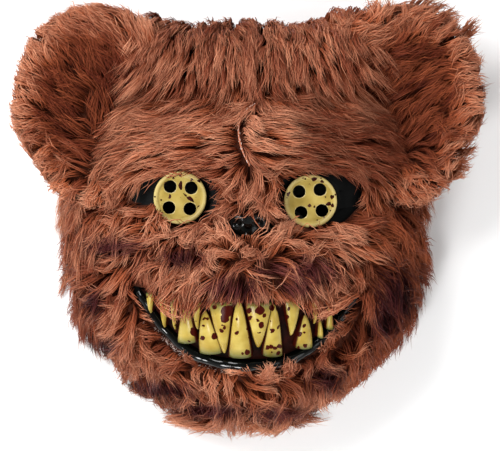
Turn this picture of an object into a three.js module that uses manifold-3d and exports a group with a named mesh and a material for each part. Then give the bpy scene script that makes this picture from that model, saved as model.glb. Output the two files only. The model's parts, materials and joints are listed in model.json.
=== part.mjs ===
// Plush bear mask: a moulded plastic face shell under a glued fur cover, with stuffed ears, button
// eyes, a nose and a grin of painted teeth, and an elastic strap inside. It lies on its rim, face up.
// Millimetres. +Z comes out of the face, +Y runs to the crown, +X to the right of someone facing it.
// The origin is on the surface it lies on, under the middle of its outer box.
import * as THREE from "three";
import { mergeVertices } from "three/addons/utils/BufferGeometryUtils.js";
import Module from "manifold-3d";

const wasm = await Module();
wasm.setup();

// Gaps that pieces keep
const clearance = 0.3;
const seamGap = 0.8;

// Face shell: half of a rounded box, open at the back
const shellHalfWidth = 91;
const shellCrown = 104;
const shellChin = 104;
const shellDepth = 76;
const shellWall = 2;
const outlineRoundness = 2.5;
const domeRoundness = 2.4;

// Broad forms of the face. x and reachX are shares of the shell's half width, y and reachY of its
// crown height, rise of its depth.
const faceForms = [
  { name: "muzzle", x: 0, y: -0.4, reachX: 0.78, reachY: 0.62, rise: 0.3 },
  { name: "brow", x: 0, y: 0.42, reachX: 0.8, reachY: 0.3, rise: 0.09 },
  { name: "leftCheek", x: -0.68, y: -0.3, reachX: 0.4, reachY: 0.42, rise: 0.06 },
  { name: "rightCheek", x: 0.68, y: -0.3, reachX: 0.4, reachY: 0.42, rise: 0.06 },
  { name: "chin", x: 0, y: -0.92, reachX: 0.55, reachY: 0.32, rise: 0.1 },
  { name: "leftSocket", x: -0.43, y: 0.16, reachX: 0.4, reachY: 0.32, rise: -0.1 },
  { name: "rightSocket", x: 0.43, y: 0.16, reachX: 0.4, reachY: 0.32, rise: -0.1 },
];

// Fur cover: cloth backing and dense pile as one wall, thicker on the brow and the cheeks
const furWall = 8;
const browPile = 5;
const cheekPile = 4;
const hemLift = 2;
const seamY = 12;
const whorlY = 8;

// Locks of long pile that stand out of the cover and the ears
const lockLength = 22;
const lockHalfWidth = 4.6;
const lockLift = 0.62;
const rimLockReach = 13;
const lockRoom = 4;
const lockSides = 4;

// Eyes
const eyeHalfSpacing = 37.7;
const eyeY = 15.6;
const buttonDiameter = 30;
const buttonThickness = 4.6;
const buttonRimWidth = 2;
const buttonDish = 1.1;
const buttonHoleDiameter = 7.2;
const buttonHoleSpacing = 12.2;
const eyeOpeningWidth = 52;
const eyeOpeningHeight = 31;
const socketWall = 2.2;

// Nose
const noseWidth = 28;
const noseHeight = 17;
const noseDepth = 7;
const noseY = 0.5;
const nostrilDent = 2.6;

// Mouth
const mouthHalfWidth = 67;
const mouthCornerY = -36;
const mouthLowerDrop = 44;
const mouthUpperDrop = 5;
const lipRadius = 2.8;
const lipReach = 0.93;
const gumThickness = 2.4;
const toothDepth = 4.4;

// Teeth. at is the share of the mouth's half width where the root stands, width the share of it that
// the root takes, length the share of the lower drop, lean how far the tip stands to one side.
const teeth = [
  { name: "tooth_lower_1", row: "lower", at: -0.53, width: 0.125, length: 0.42, lean: 0 },
  { name: "tooth_lower_2", row: "lower", at: -0.325, width: 0.195, length: 0.5, lean: -0.045 },
  { name: "tooth_lower_3", row: "lower", at: -0.06, width: 0.19, length: 0.69, lean: -0.01 },
  { name: "tooth_lower_4", row: "lower", at: 0.215, width: 0.16, length: 0.66, lean: 0.005 },
  { name: "tooth_lower_5", row: "lower", at: 0.455, width: 0.15, length: 0.4, lean: 0.01 },
  { name: "tooth_lower_6", row: "lower", at: 0.575, width: 0.055, length: 0.2, lean: 0 },
  { name: "tooth_lower_7", row: "lower", at: 0.655, width: 0.07, length: 0.24, lean: 0 },
  { name: "tooth_upper_1", row: "upper", at: -0.82, width: 0.055, length: 0.2, lean: 0 },
  { name: "tooth_upper_2", row: "upper", at: -0.715, width: 0.08, length: 0.42, lean: 0 },
  { name: "tooth_upper_3", row: "upper", at: -0.625, width: 0.065, length: 0.42, lean: 0 },
  { name: "tooth_upper_4", row: "upper", at: -0.44, width: 0.07, length: 0.42, lean: 0 },
  { name: "tooth_upper_5", row: "upper", at: -0.205, width: 0.14, length: 0.66, lean: 0.02 },
  { name: "tooth_upper_6", row: "upper", at: 0.08, width: 0.15, length: 0.58, lean: 0 },
  { name: "tooth_upper_7", row: "upper", at: 0.345, width: 0.11, length: 0.45, lean: 0 },
  { name: "tooth_upper_8", row: "upper", at: 0.52, width: 0.065, length: 0.35, lean: 0 },
];

// Ears: cupped stuffed flaps, sewn to the sides of the crown
const earHalfWidth = 42;
const earHalfHeight = 52;
const earThickness = 14;
const earCup = 17;
const earHeight = 48;
const earLocks = 20;
const earLean = THREE.MathUtils.degToRad(11);
// Where they stand: x a share of the shell's half width, y of its crown height.
const ears = [
  { name: "ear_left", side: -1, x: 0.965, y: 0.65 },
  { name: "ear_right", side: 1, x: 0.965, y: 0.65 },
];

// Elastic head strap, lying in the hollow, and the rivets that hold it to bosses inside the shell
const strapWidth = 20;
const strapThickness = 1.4;
const strapY = 8;
const strapTabHeight = 24;
const strapBend = 9;
const strapLift = 0.4;
const bossDiameter = 16;
const bossDepth = 4;
const rivetDiameter = 4;
const rivetHeadDiameter = 9;
const rivetHeadThickness = 1.6;
const rivetRoom = 0.25;

// Facets
const spokes = 34;
const rings = 8;
const earSpokes = 18;
const roundSides = 20;
const holeSides = 10;

const halfTurn = Math.PI / 2;
const noseSides = 20;

const furMaterial = new THREE.MeshStandardMaterial({ color: 0x8c4a30, roughness: 0.95, metalness: 0 });
const shellMaterial = new THREE.MeshStandardMaterial({ color: 0x141414, roughness: 0.35, metalness: 0 });
const lipMaterial = new THREE.MeshStandardMaterial({ color: 0x0b0b0c, roughness: 0.12, metalness: 0 });
const toothMaterial = new THREE.MeshStandardMaterial({ color: 0xd9c257, roughness: 0.35, metalness: 0 });
const buttonMaterial = new THREE.MeshStandardMaterial({ color: 0xdcc658, roughness: 0.35, metalness: 0 });
const strapMaterial = new THREE.MeshStandardMaterial({ color: 0x17171a, roughness: 0.9, metalness: 0 });
const rivetMaterial = new THREE.MeshStandardMaterial({ color: 0xb8b8bc, roughness: 0.35, metalness: 1 });

// The solid of a closed geometry, with its shared vertices merged and its faces pointing out.
function solidOf(geometry) {
  const bare = geometry.clone();
  bare.deleteAttribute("normal");
  bare.deleteAttribute("uv");
  const merged = mergeVertices(bare, 1e-4);
  const vertProperties = new Float32Array(merged.attributes.position.array);
  const triVerts = new Uint32Array(merged.index.array);
  const made = new wasm.Manifold(new wasm.Mesh({ numProp: 3, vertProperties, triVerts }));
  if (made.volume() > 0) return made;
  for (let i = 0; i < triVerts.length; i += 3) {
    [triVerts[i + 1], triVerts[i + 2]] = [triVerts[i + 2], triVerts[i + 1]];
  }
  return new wasm.Manifold(new wasm.Mesh({ numProp: 3, vertProperties, triVerts }));
}

function geometryOf(solid) {
  const mesh = solid.getMesh();
  const points = new Float32Array(mesh.numVert * 3);
  for (let i = 0; i < mesh.numVert; i++) {
    points.set(mesh.vertProperties.subarray(i * mesh.numProp, i * mesh.numProp + 3), i * 3);
  }
  const geometry = new THREE.BufferGeometry();
  geometry.setAttribute("position", new THREE.BufferAttribute(points, 3));
  geometry.setIndex(new THREE.BufferAttribute(mesh.triVerts, 1));
  geometry.computeVertexNormals();
  return geometry;
}

// A closed skin from a start point through rings of equally many points to an end point. From the
// ring numbered turned the quads are split the other way, so that a wall's two faces run parallel.
function closedLoft(start, ringList, end, turned = ringList.length) {
  const count = ringList[0].length;
  const points = [start, ...ringList.flat(), end];
  const faces = [];
  const vertex = (ring, i) => 1 + ring * count + (i % count);
  const last = ringList.length - 1;
  for (let i = 0; i < count; i++) {
    faces.push(0, vertex(0, i), vertex(0, i + 1));
    faces.push(vertex(last, i), points.length - 1, vertex(last, i + 1));
    for (let ring = 0; ring < last; ring++) {
      const near = [vertex(ring, i), vertex(ring, i + 1)];
      const far = [vertex(ring + 1, i), vertex(ring + 1, i + 1)];
      if (ring < turned) faces.push(near[0], far[0], far[1], near[0], far[1], near[1]);
      else faces.push(near[0], far[0], near[1], far[0], far[1], near[1]);
    }
  }
  const geometry = new THREE.BufferGeometry().setFromPoints(points);
  geometry.setIndex(faces);
  return solidOf(geometry);
}

// A closed skin through rings that lead back to the first one.
function closedLoop(ringList) {
  const count = ringList[0].length;
  const faces = [];
  const vertex = (ring, i) => (ring % ringList.length) * count + (i % count);
  for (let ring = 0; ring < ringList.length; ring++) {
    for (let i = 0; i < count; i++) {
      faces.push(vertex(ring, i), vertex(ring + 1, i), vertex(ring + 1, i + 1));
      faces.push(vertex(ring, i), vertex(ring + 1, i + 1), vertex(ring, i + 1));
    }
  }
  const geometry = new THREE.BufferGeometry().setFromPoints(ringList.flat());
  geometry.setIndex(faces);
  return solidOf(geometry);
}

function prism(shape, low, high, curveSegments = holeSides) {
  const options = { depth: high - low, bevelEnabled: false, curveSegments };
  const geometry = new THREE.ExtrudeGeometry(shape, options);
  geometry.translate(0, 0, low);
  return solidOf(geometry);
}

function largest(solid) {
  return solid.decompose().sort((a, b) => b.volume() - a.volume())[0];
}

function circle(x, y, radius) {
  return new THREE.Shape().absarc(x, y, radius, 0, 2 * Math.PI, false);
}

function rectangle(left, right, bottom, top) {
  const corners = [[left, bottom], [right, bottom], [right, top], [left, top]];
  return new THREE.Shape(corners.map(([x, y]) => new THREE.Vector2(x, y)));
}

// How far out of the middle a point lies: 0 there, 1 on the rim's outline.
function outlineShare(x, y) {
  const across = Math.abs(x) / shellHalfWidth;
  const along = Math.abs(y) / (y > 0 ? shellCrown : shellChin);
  return (across ** outlineRoundness + along ** outlineRoundness) ** (1 / outlineRoundness);
}

// A hill of a raised cosine, 1 at its middle and 0 at the edge of its reach.
function hill(x, y, middleX, middleY, reachX, reachY) {
  const distance = Math.hypot((x - middleX) / reachX, (y - middleY) / reachY);
  return distance < 1 ? (1 + Math.cos(Math.PI * distance)) / 2 : 0;
}

function formRise(x, y) {
  return faceForms.reduce((sum, form) => {
    const middle = [form.x * shellHalfWidth, form.y * shellCrown];
    const reach = [form.reachX * shellHalfWidth, form.reachY * shellCrown];
    return sum + form.rise * shellDepth * hill(x, y, ...middle, ...reach);
  }, 0);
}

// Height of the shell's outer face over the rim plane. The forms fade out towards the rim.
function shellHeight(x, y) {
  const share = Math.min(outlineShare(x, y), 1);
  const dome = shellDepth * (1 - share ** domeRoundness) ** (1 / domeRoundness);
  return dome + formRise(x, y) * THREE.MathUtils.smoothstep(dome, 0, shellDepth / 2);
}

// A point of the shell's outer face by its polar angle and its swing, 0 at the front, 90 degrees at the rim.
function shellPoint(angle, swing) {
  const share = Math.sin(swing) ** (2 / domeRoundness);
  const reach = share / outlineShare(Math.cos(angle), Math.sin(angle));
  const x = reach * Math.cos(angle);
  const y = reach * Math.sin(angle);
  return new THREE.Vector3(x, y, swing >= halfTurn ? 0 : shellHeight(x, y));
}

function shellNormal(angle, swing) {
  const step = 0.004;
  const outer = Math.min(Math.max(swing, 0.05) + step, halfTurn);
  const inner = outer - 2 * step;
  const around = shellPoint(angle + step, outer).sub(shellPoint(angle - step, outer));
  const down = shellPoint(angle, outer).sub(shellPoint(angle, inner));
  const normal = down.cross(around).normalize();
  if (swing >= halfTurn) normal.setZ(0);
  return swing < 0.01 ? new THREE.Vector3(0, 0, 1) : normal.normalize();
}

function swingAt(x, y) {
  return Math.asin(Math.min(outlineShare(x, y), 1) ** (domeRoundness / 2));
}

function swingAtHeight(height) {
  return Math.acos((height / shellDepth) ** (domeRoundness / 2));
}

const hemSwing = swingAtHeight(hemLift);

function normalAt(x, y) {
  return shellNormal(Math.atan2(y, x), swingAt(x, y));
}

// The point that stands a height over the shell's outer face at x, y.
function lifted(x, y, height) {
  return shellPoint(Math.atan2(y, x), swingAt(x, y)).addScaledVector(normalAt(x, y), height);
}

// Rings of a skin that stands a height over the shell's outer face. The height may vary from place to place.
function skinRings(heightAt, rimSwing) {
  const swings = Array.from({ length: rings }, (_, ring) => (hemSwing * (ring + 1)) / rings);
  if (rimSwing > hemSwing) swings.push(rimSwing);
  return swings.map((swing) => {
    return Array.from({ length: spokes }, (__, spoke) => {
      const angle = (2 * Math.PI * spoke) / spokes;
      const point = shellPoint(angle, swing);
      return point.clone().addScaledVector(shellNormal(angle, swing), heightAt(point.x, point.y));
    });
  });
}

function skinTop(heightAt) {
  return new THREE.Vector3(0, 0, shellHeight(0, 0) + heightAt(0, 0));
}

// A wall between two heights over the shell's outer face, open at the back.
function wall(outerHeight, innerHeight, rimSwing) {
  const outer = skinRings(outerHeight, rimSwing);
  const inner = skinRings(innerHeight, rimSwing).reverse();
  return closedLoft(skinTop(outerHeight), [...outer, ...inner], skinTop(innerHeight), outer.length);
}

// The space under a skin, down to its rim.
function dome(heightAt, rimSwing) {
  const outer = skinRings(heightAt, rimSwing);
  return closedLoft(skinTop(heightAt), outer, new THREE.Vector3(0, 0, outer.at(-1)[0].z));
}

const topOfAll = shellHeight(0, -0.3 * shellCrown) + furWall + lockLength;

function pileHeight(x, y) {
  const brow = hill(x, y, 0, 0.42 * shellCrown, 0.85 * shellHalfWidth, 0.3 * shellCrown);
  const side = Math.abs(x);
  const cheek = hill(side, y, 0.68 * shellHalfWidth, -0.3 * shellCrown, 0.42 * shellHalfWidth, 0.5 * shellCrown);
  return furWall + browPile * brow + cheekPile * cheek;
}

// Eyes

const buttonRadius = buttonDiameter / 2;
const sightRadius = buttonHoleSpacing * Math.SQRT1_2 + buttonHoleDiameter / 2 + clearance;
const seatHeight = clearance + Math.max(...Array.from({ length: roundSides }, (_, i) => {
  const turn = (2 * Math.PI * i) / roundSides;
  return shellHeight(eyeHalfSpacing + buttonRadius * Math.cos(turn), eyeY + buttonRadius * Math.sin(turn));
}));

// The gap in the fur round an eye: a flat brow edge and a rounded lower edge. side is -1 or 1.
function eyeOpening(side) {
  const middle = 40 / 37.7 * eyeHalfSpacing * side;
  const x = (share) => middle + share * eyeOpeningWidth * side;
  const y = (share) => eyeY + share * eyeOpeningHeight;
  const shape = new THREE.Shape();
  shape.moveTo(x(0.46), y(0.5));
  shape.lineTo(x(-0.42), y(0.52));
  shape.quadraticCurveTo(x(-0.56), y(0.1), x(-0.34), y(-0.3));
  shape.quadraticCurveTo(x(-0.1), y(-0.6), x(0.18), y(-0.46));
  shape.quadraticCurveTo(x(0.5), y(-0.3), x(0.5), y(0.2));
  shape.closePath();
  return prism(shape, 0, topOfAll, 5);
}

// A flat round seat for a button, standing out of the shell.
function socketBlank(side) {
  return prism(circle(side * eyeHalfSpacing, eyeY, sightRadius + socketWall), 0, seatHeight, 6);
}

function socketRoom(side) {
  return prism(circle(side * eyeHalfSpacing, eyeY, sightRadius + socketWall + clearance), 0, topOfAll, 6);
}

function sightHole(side) {
  return prism(circle(side * eyeHalfSpacing, eyeY, sightRadius), 0, topOfAll, 6);
}

function button(side) {
  const face = buttonThickness - buttonDish;
  const edge = buttonRadius - 0.8;
  const profile = [
    [0, 0],
    [edge, 0],
    [buttonRadius, 0.8],
    [buttonRadius, buttonThickness - 0.8],
    [edge, buttonThickness],
    [buttonRadius - buttonRimWidth, buttonThickness],
    [buttonRadius - buttonRimWidth - buttonDish, face],
    [0, face],
  ].map(([x, y]) => new THREE.Vector2(x, y));
  const disc = new THREE.LatheGeometry(profile, roundSides);
  disc.rotateX(halfTurn);
  let solid = solidOf(disc);
  for (const across of [-1, 1]) {
    for (const along of [-1, 1]) {
      const x = (across * buttonHoleSpacing) / 2;
      const y = (along * buttonHoleSpacing) / 2;
      const hole = prism(circle(x, y, buttonHoleDiameter / 2), -1, buttonThickness + 1, holeSides / 2);
      solid = solid.subtract(hole);
    }
  }
  const mesh = new THREE.Mesh(geometryOf(solid), buttonMaterial);
  mesh.name = side < 0 ? "eye_button_left" : "eye_button_right";
  mesh.position.set(side * eyeHalfSpacing, eyeY, seatHeight + clearance);
  return mesh;
}

// Nose

function noseOpening() {
  const shape = new THREE.Shape();
  shape.absellipse(0, noseY, noseWidth / 2 + 1, noseHeight / 2 + 1, 0, 2 * Math.PI, false);
  return prism(shape, 0, topOfAll, 8);
}

// A rounded triangle, wide at the top, that bulges over its seat and has two nostril dents.
function nose() {
  const count = noseSides;
  const shares = [0.3, 0.6, 0.85, 1];
  const spot = (share, angle) => {
    const narrow = 1 - 0.22 * (1 - Math.sin(angle));
    const x = (share * Math.cos(angle) * noseWidth * narrow) / 2;
    return [x, noseY + (share * Math.sin(angle) * noseHeight) / 2];
  };
  const rise = (x, y, share) => {
    const dent = hill(Math.abs(x), y, noseWidth * 0.2, noseY - noseHeight * 0.08, noseWidth * 0.14, noseHeight * 0.2);
    return clearance + 0.6 + noseDepth * Math.sqrt(Math.max(1 - share * share, 0)) - nostrilDent * dent;
  };
  const ringAt = (share, heightAt) => Array.from({ length: count }, (_, i) => {
    const [x, y] = spot(share, (2 * Math.PI * i) / count);
    return lifted(x, y, heightAt(x, y, share));
  });
  const front = shares.map((share) => ringAt(share, rise));
  const back = ringAt(0.96, () => -clearance);
  const start = lifted(0, noseY, rise(0, noseY, 0));
  const blank = closedLoft(start, [...front, back], lifted(0, noseY, -1));
  return blank.subtract(dome(() => clearance, hemSwing));
}

// Mouth

function lowerEdge(x) {
  const share = Math.min(Math.abs(x) / mouthHalfWidth, 1);
  return mouthCornerY - mouthLowerDrop * (1 - share ** 2.5);
}

function upperEdge(x) {
  const share = Math.min(Math.abs(x) / mouthHalfWidth, 1);
  return mouthCornerY - mouthUpperDrop * (1 - share * share);
}

// The grin as a flat outline, and the space for what stands in it.
const mouthSteps = 16;
const mouthXs = Array.from({ length: mouthSteps + 1 }, (_, i) => mouthHalfWidth * ((2 * i) / mouthSteps - 1));
const grin = new wasm.CrossSection([[
  ...mouthXs.map((x) => [x, lowerEdge(x)]),
  ...mouthXs.slice(1, -1).reverse().map((x) => [x, upperEdge(x)]),
]]);

const mouthRoom = grin.offset(-seamGap, "Miter", 2).extrude(topOfAll);

// A place a margin inside the grin's lower edge.
function insideLower(x, margin) {
  const step = 0.01;
  const slope = (lowerEdge(x + step) - lowerEdge(x - step)) / (2 * step);
  const stretch = Math.hypot(slope, 1);
  return [x - (margin * slope) / stretch, lowerEdge(x) + margin / stretch];
}

const lipRoom = seamGap + 2 * lipRadius + clearance;

// A glossy roll on the shell along the grin's lower edge, thinner at the corners, with room added
// all round if asked.
function lip(room = 0) {
  const steps = 18;
  const sides = 6;
  const reach = lipReach * mouthHalfWidth;
  const middle = (i) => insideLower(reach * Math.sin(halfTurn * ((2 * i) / steps - 1)), seamGap + lipRadius);
  const thickness = (i) => lipRadius * (0.55 + 0.45 * Math.sin((Math.PI * i) / steps));
  const centre = (i) => lifted(...middle(i), thickness(i) + 2 * clearance);
  const ringList = Array.from({ length: steps + 1 }, (_, i) => {
    const tangent = centre(Math.min(i + 1, steps)).sub(centre(Math.max(i - 1, 0))).normalize();
    const up = normalAt(...middle(i));
    const side = new THREE.Vector3().crossVectors(tangent, up).normalize();
    const size = thickness(i) + room;
    return Array.from({ length: sides }, (__, k) => {
      const turn = (2 * Math.PI * k) / sides;
      return centre(i).addScaledVector(side, size * Math.sin(turn)).addScaledVector(up, size * Math.cos(turn));
    });
  });
  return closedLoft(centre(0), ringList, centre(steps));
}

// The black plate behind the teeth, a piece of wall between the lip and the grin's upper edge.
function gumPlate() {
  const plate = wall(() => clearance + gumThickness, () => clearance, hemSwing);
  const lower = mouthXs.map((x) => insideLower(lipReach * x, lipRoom + gumThickness / 2));
  const [left, right] = [lower[0][0], lower.at(-1)[0]];
  const upper = mouthXs.filter((x) => x > left && x < right).reverse();
  const outline = new wasm.CrossSection([[...lower, ...upper.map((x) => [x, upperEdge(x) - seamGap])]], "Positive");
  return largest(plate.intersect(outline.extrude(topOfAll)).intersect(mouthRoom));
}

// A tooth lies on the gum plate: its root stands at the grin's edge and its back follows the plate.
function tooth({ row, at, width, length, lean }) {
  const arch = 5;
  const isLower = row === "lower";
  const rootX = at * mouthHalfWidth;
  const away = isLower ? 1 : -1;
  const rootY = isLower ? lowerEdge(rootX) + lipRoom : upperEdge(rootX) - seamGap;
  const half = (width * mouthHalfWidth) / 2;
  const reach = length * mouthLowerDrop;
  const seat = gumThickness + 2 * clearance;
  const shares = [0, 0.35, 0.7, 0.92];
  const spine = (share) => [rootX + lean * mouthHalfWidth * share, rootY + away * reach * share];
  const ringList = shares.map((share) => {
    const [x, y] = spine(share);
    const thin = Math.sqrt(1 - share ** 2.6);
    const spread = half * (1 - 0.45 * share) * thin;
    const front = Array.from({ length: arch }, (_, i) => {
      const turn = (Math.PI * i) / (arch - 1);
      return lifted(x + spread * Math.cos(turn), y, seat + 0.4 + toothDepth * thin * Math.sin(turn));
    });
    const back = [-1, 1].map((side) => lifted(x + spread * side, y, 1));
    return [...front, ...back];
  });
  const blank = closedLoft(lifted(...spine(0), seat), ringList, lifted(...spine(1), seat + 0.4));
  return largest(blank.subtract(dome(() => seat, hemSwing)).subtract(lip(clearance)).intersect(mouthRoom));
}

// Fur

// A tapered lock from a root along a way, bent a little towards the back.
function lock(root, way, length, halfWidth) {
  const side = new THREE.Vector3(0, 0, 1).cross(way).normalize();
  const over = new THREE.Vector3().crossVectors(way, side).normalize();
  const ringAt = (share, size) => Array.from({ length: lockSides }, (_, i) => {
    const turn = (2 * Math.PI * (i + 0.5)) / lockSides;
    return root.clone()
      .addScaledVector(way, length * share)
      .addScaledVector(over, size * 0.7 * Math.sin(turn))
      .addScaledVector(side, size * Math.cos(turn));
  });
  const tip = root.clone().addScaledVector(way, length).addScaledVector(over, -0.12 * length);
  return closedLoft(root, [ringAt(0, halfWidth), ringAt(0.5, halfWidth * 0.75)], tip);
}

// Which panel of the cover a lock's root or tip belongs to, or none near an opening or a seam.
function panelAt(x, y) {
  const side = Math.abs(x);
  const eye = Math.hypot((side - eyeHalfSpacing) / eyeOpeningWidth, (y - eyeY) / eyeOpeningHeight) < 0.7;
  const snout = Math.hypot(x / noseWidth, (y - noseY) / noseHeight) < 0.75;
  const besideMouth = side < mouthHalfWidth + lockRoom;
  const grinning = besideMouth && y < upperEdge(x) + lockRoom && y > lowerEdge(x) - lockRoom;
  const onSeam = Math.abs(y - seamY) < lockRoom || (y > seamY && side < lockRoom);
  const onJawSeam = Math.abs(y - mouthCornerY) < lockRoom && side > mouthHalfWidth - lockRoom;
  if (eye || snout || grinning || onSeam || onJawSeam) return "none";
  if (y > seamY) return x < 0 ? "left" : "right";
  return y > mouthCornerY || (besideMouth && y > upperEdge(x)) ? "muzzle" : "jaw";
}

// Locks in staggered rows round the cover. They lie away from the whorl between the eyes, and
// stand off more towards the rim.
function coverLocks() {
  const earRooms = ears.map((ear) => earFlap(ear, seamGap));
  const rows = [
    { swing: 0.42, count: 12 },
    { swing: 0.66, count: 20 },
    { swing: 0.88, count: 28 },
    { swing: 0.975, count: 34 },
  ];
  const made = [];
  rows.forEach(({ swing, count }, row) => {
    for (let i = 0; i < count; i++) {
      const angle = (2 * Math.PI * (i + (row % 2) / 2)) / count;
      const at = shellPoint(angle, swing * halfTurn);
      const normal = shellNormal(angle, swing * halfTurn);
      const root = at.clone().addScaledVector(normal, pileHeight(at.x, at.y) - 0.4 * furWall);
      const lay = new THREE.Vector3(at.x, at.y - whorlY, 0).projectOnPlane(normal).normalize();
      const rimShare = Math.max(0, swing - 0.8) * 5;
      const way = lay.multiplyScalar(1 - rimShare * 0.7).addScaledVector(normal, lockLift + rimShare * 0.5);
      way.z = Math.max(way.z, -0.05);
      way.normalize();
      const length = lockLength + (rimLockReach - lockLength) * rimShare * 0.5;
      const tip = root.clone().addScaledVector(way, length);
      const panel = panelAt(at.x, at.y);
      if (panel === "none" || panel !== panelAt(tip.x, tip.y)) continue;
      const one = lock(root, way, length, lockHalfWidth);
      if (earRooms.every((room) => one.intersect(room).isEmpty())) made.push(one);
    }
  });
  return made;
}

// The whole cover, then its panels, parted at the seams.
function coverPanels() {
  const far = 3 * shellHalfWidth;
  const half = seamGap / 2;
  const corner = mouthHalfWidth - lockRoom;
  const backing = wall(pileHeight, () => clearance, hemSwing);
  const cuts = [
    eyeOpening(-1),
    eyeOpening(1),
    noseOpening(),
    grin.extrude(topOfAll),
    lip(seamGap / 2),
    socketRoom(-1),
    socketRoom(1),
    prism(rectangle(-far, far, seamY - half, seamY + half), 0, topOfAll),
    prism(rectangle(-half, half, seamY, far), 0, topOfAll),
    prism(rectangle(-far, -corner, mouthCornerY - half, mouthCornerY + half), 0, topOfAll),
    prism(rectangle(corner, far, mouthCornerY - half, mouthCornerY + half), 0, topOfAll),
  ];
  const whole = coverLocks().reduce((sum, one) => sum.add(one), backing);
  const parted = cuts.reduce((sum, cut) => sum.subtract(cut), whole);
  const panels = parted.decompose().sort((a, b) => b.volume() - a.volume()).slice(0, 4);
  const middle = (solid) => {
    const box = solid.boundingBox();
    return box.min.map((low, axis) => (low + box.max[axis]) / 2);
  };
  const upper = panels.filter((p) => p.boundingBox().min[1] > 0).sort((a, b) => middle(a)[0] - middle(b)[0]);
  const lower = panels.filter((p) => p.boundingBox().min[1] <= 0).sort((a, b) => middle(b)[1] - middle(a)[1]);
  return {
    fur_forehead_left: upper[0],
    fur_forehead_right: upper[1],
    fur_muzzle: lower[0],
    fur_jaw: lower[1],
  };
}

// Ears

// A point of an ear by the share of its outline, an angle and a depth over its cupped middle face.
function earPoint(ear, share, angle, depth) {
  const across = share * earHalfWidth * Math.cos(angle);
  const along = share * earHalfHeight * Math.sin(angle);
  const x = across * Math.cos(earLean) - along * Math.sin(earLean);
  const y = across * Math.sin(earLean) + along * Math.cos(earLean);
  const z = earHeight - earCup * (1 - share * share) + depth;
  return new THREE.Vector3(ear.side * (ear.x * shellHalfWidth + x), ear.y * shellCrown + y, z);
}

// The stuffed flap, with room added all round if asked.
function earFlap(ear, room = 0) {
  const half = earThickness / 2 + room;
  const grow = 1 + room / earHalfWidth;
  const section = [
    [0.3, 0.75],
    [0.6, 0.85],
    [0.85, 1],
    [0.96, 0.7],
    [1, 0],
    [0.96, -0.7],
    [0.8, -1],
    [0.4, -1],
  ];
  const angles = Array.from({ length: earSpokes }, (_, i) => (2 * Math.PI * i) / earSpokes);
  const ringList = section.map(([share, depth]) => angles.map((a) => earPoint(ear, share * grow, a, depth * half)));
  return closedLoft(earPoint(ear, 0, 0, 0.75 * half), ringList, earPoint(ear, 0, 0, -half));
}

// The flap with locks round its free edge, cut off where it is sewn to the head.
function furryEar(ear) {
  const head = dome((x, y) => pileHeight(x, y) + clearance, hemSwing);
  const locks = [];
  for (let i = 0; i < earLocks; i++) {
    const angle = (2 * Math.PI * i) / earLocks;
    const root = earPoint(ear, 0.88, angle, earThickness * (i % 2 ? 0.2 : -0.1));
    const outward = root.clone().sub(earPoint(ear, 0, 0, 0)).setZ(0).normalize();
    const way = outward.clone().add(new THREE.Vector3(0, -0.25, 0.12)).normalize();
    const length = rimLockReach + (i % 3) * 1.5;
    const tip = root.clone().addScaledVector(way, length);
    const isFree = outlineShare(tip.x, tip.y) > 1.12 && outlineShare(root.x, root.y) > 0.9;
    if (isFree) locks.push(lock(root, way, length, lockHalfWidth));
  }
  const furry = locks.reduce((sum, one) => sum.add(one), earFlap(ear));
  return largest(furry.subtract(head));
}

// Strap

const strapReach = lifted(shellHalfWidth, strapY, 0).x - shellWall - bossDepth;
const rivetHeight = strapTabHeight - bossDiameter / 2;
const strapFace = strapReach - clearance;

// A round bar along X from one x to another, on the rivet's axis. side is -1 or 1.
function rivetBar(from, to, diameter, side) {
  const bar = new THREE.CylinderGeometry(diameter / 2, diameter / 2, to - from, holeSides);
  bar.rotateZ(halfTurn);
  bar.translate(side * ((from + to) / 2), strapY, rivetHeight);
  return solidOf(bar);
}

function strap() {
  const inner = strapFace - strapThickness;
  const floor = strapLift;
  const top = strapTabHeight;
  const shape = new THREE.Shape();
  shape.moveTo(-strapFace, top);
  shape.lineTo(-strapFace, floor + strapBend);
  shape.quadraticCurveTo(-strapFace, floor, -strapFace + strapBend, floor);
  shape.lineTo(strapFace - strapBend, floor);
  shape.quadraticCurveTo(strapFace, floor, strapFace, floor + strapBend);
  shape.lineTo(strapFace, top);
  shape.lineTo(inner, top);
  shape.lineTo(inner, floor + strapBend);
  shape.quadraticCurveTo(inner, floor + strapThickness, strapFace - strapBend, floor + strapThickness);
  shape.lineTo(-strapFace + strapBend, floor + strapThickness);
  shape.quadraticCurveTo(-inner, floor + strapThickness, -inner, floor + strapBend);
  shape.lineTo(-inner, top);
  shape.closePath();
  const band = new THREE.ExtrudeGeometry(shape, { depth: strapWidth, bevelEnabled: false, curveSegments: 6 });
  band.rotateX(halfTurn);
  band.translate(0, strapY + strapWidth / 2, 0);
  const hole = rivetDiameter + 2 * rivetRoom;
  const holes = [-1, 1].map((side) => rivetBar(inner - 2, strapFace + 2, hole, side));
  return holes.reduce((sum, one) => sum.subtract(one), solidOf(band));
}

function rivet(side) {
  const headBack = strapFace - strapThickness - clearance;
  const pin = rivetBar(headBack - 0.5, strapReach + bossDepth - 1, rivetDiameter, side);
  return pin.add(rivetBar(headBack - rivetHeadThickness, headBack, rivetHeadDiameter, side));
}

// Shell

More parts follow.
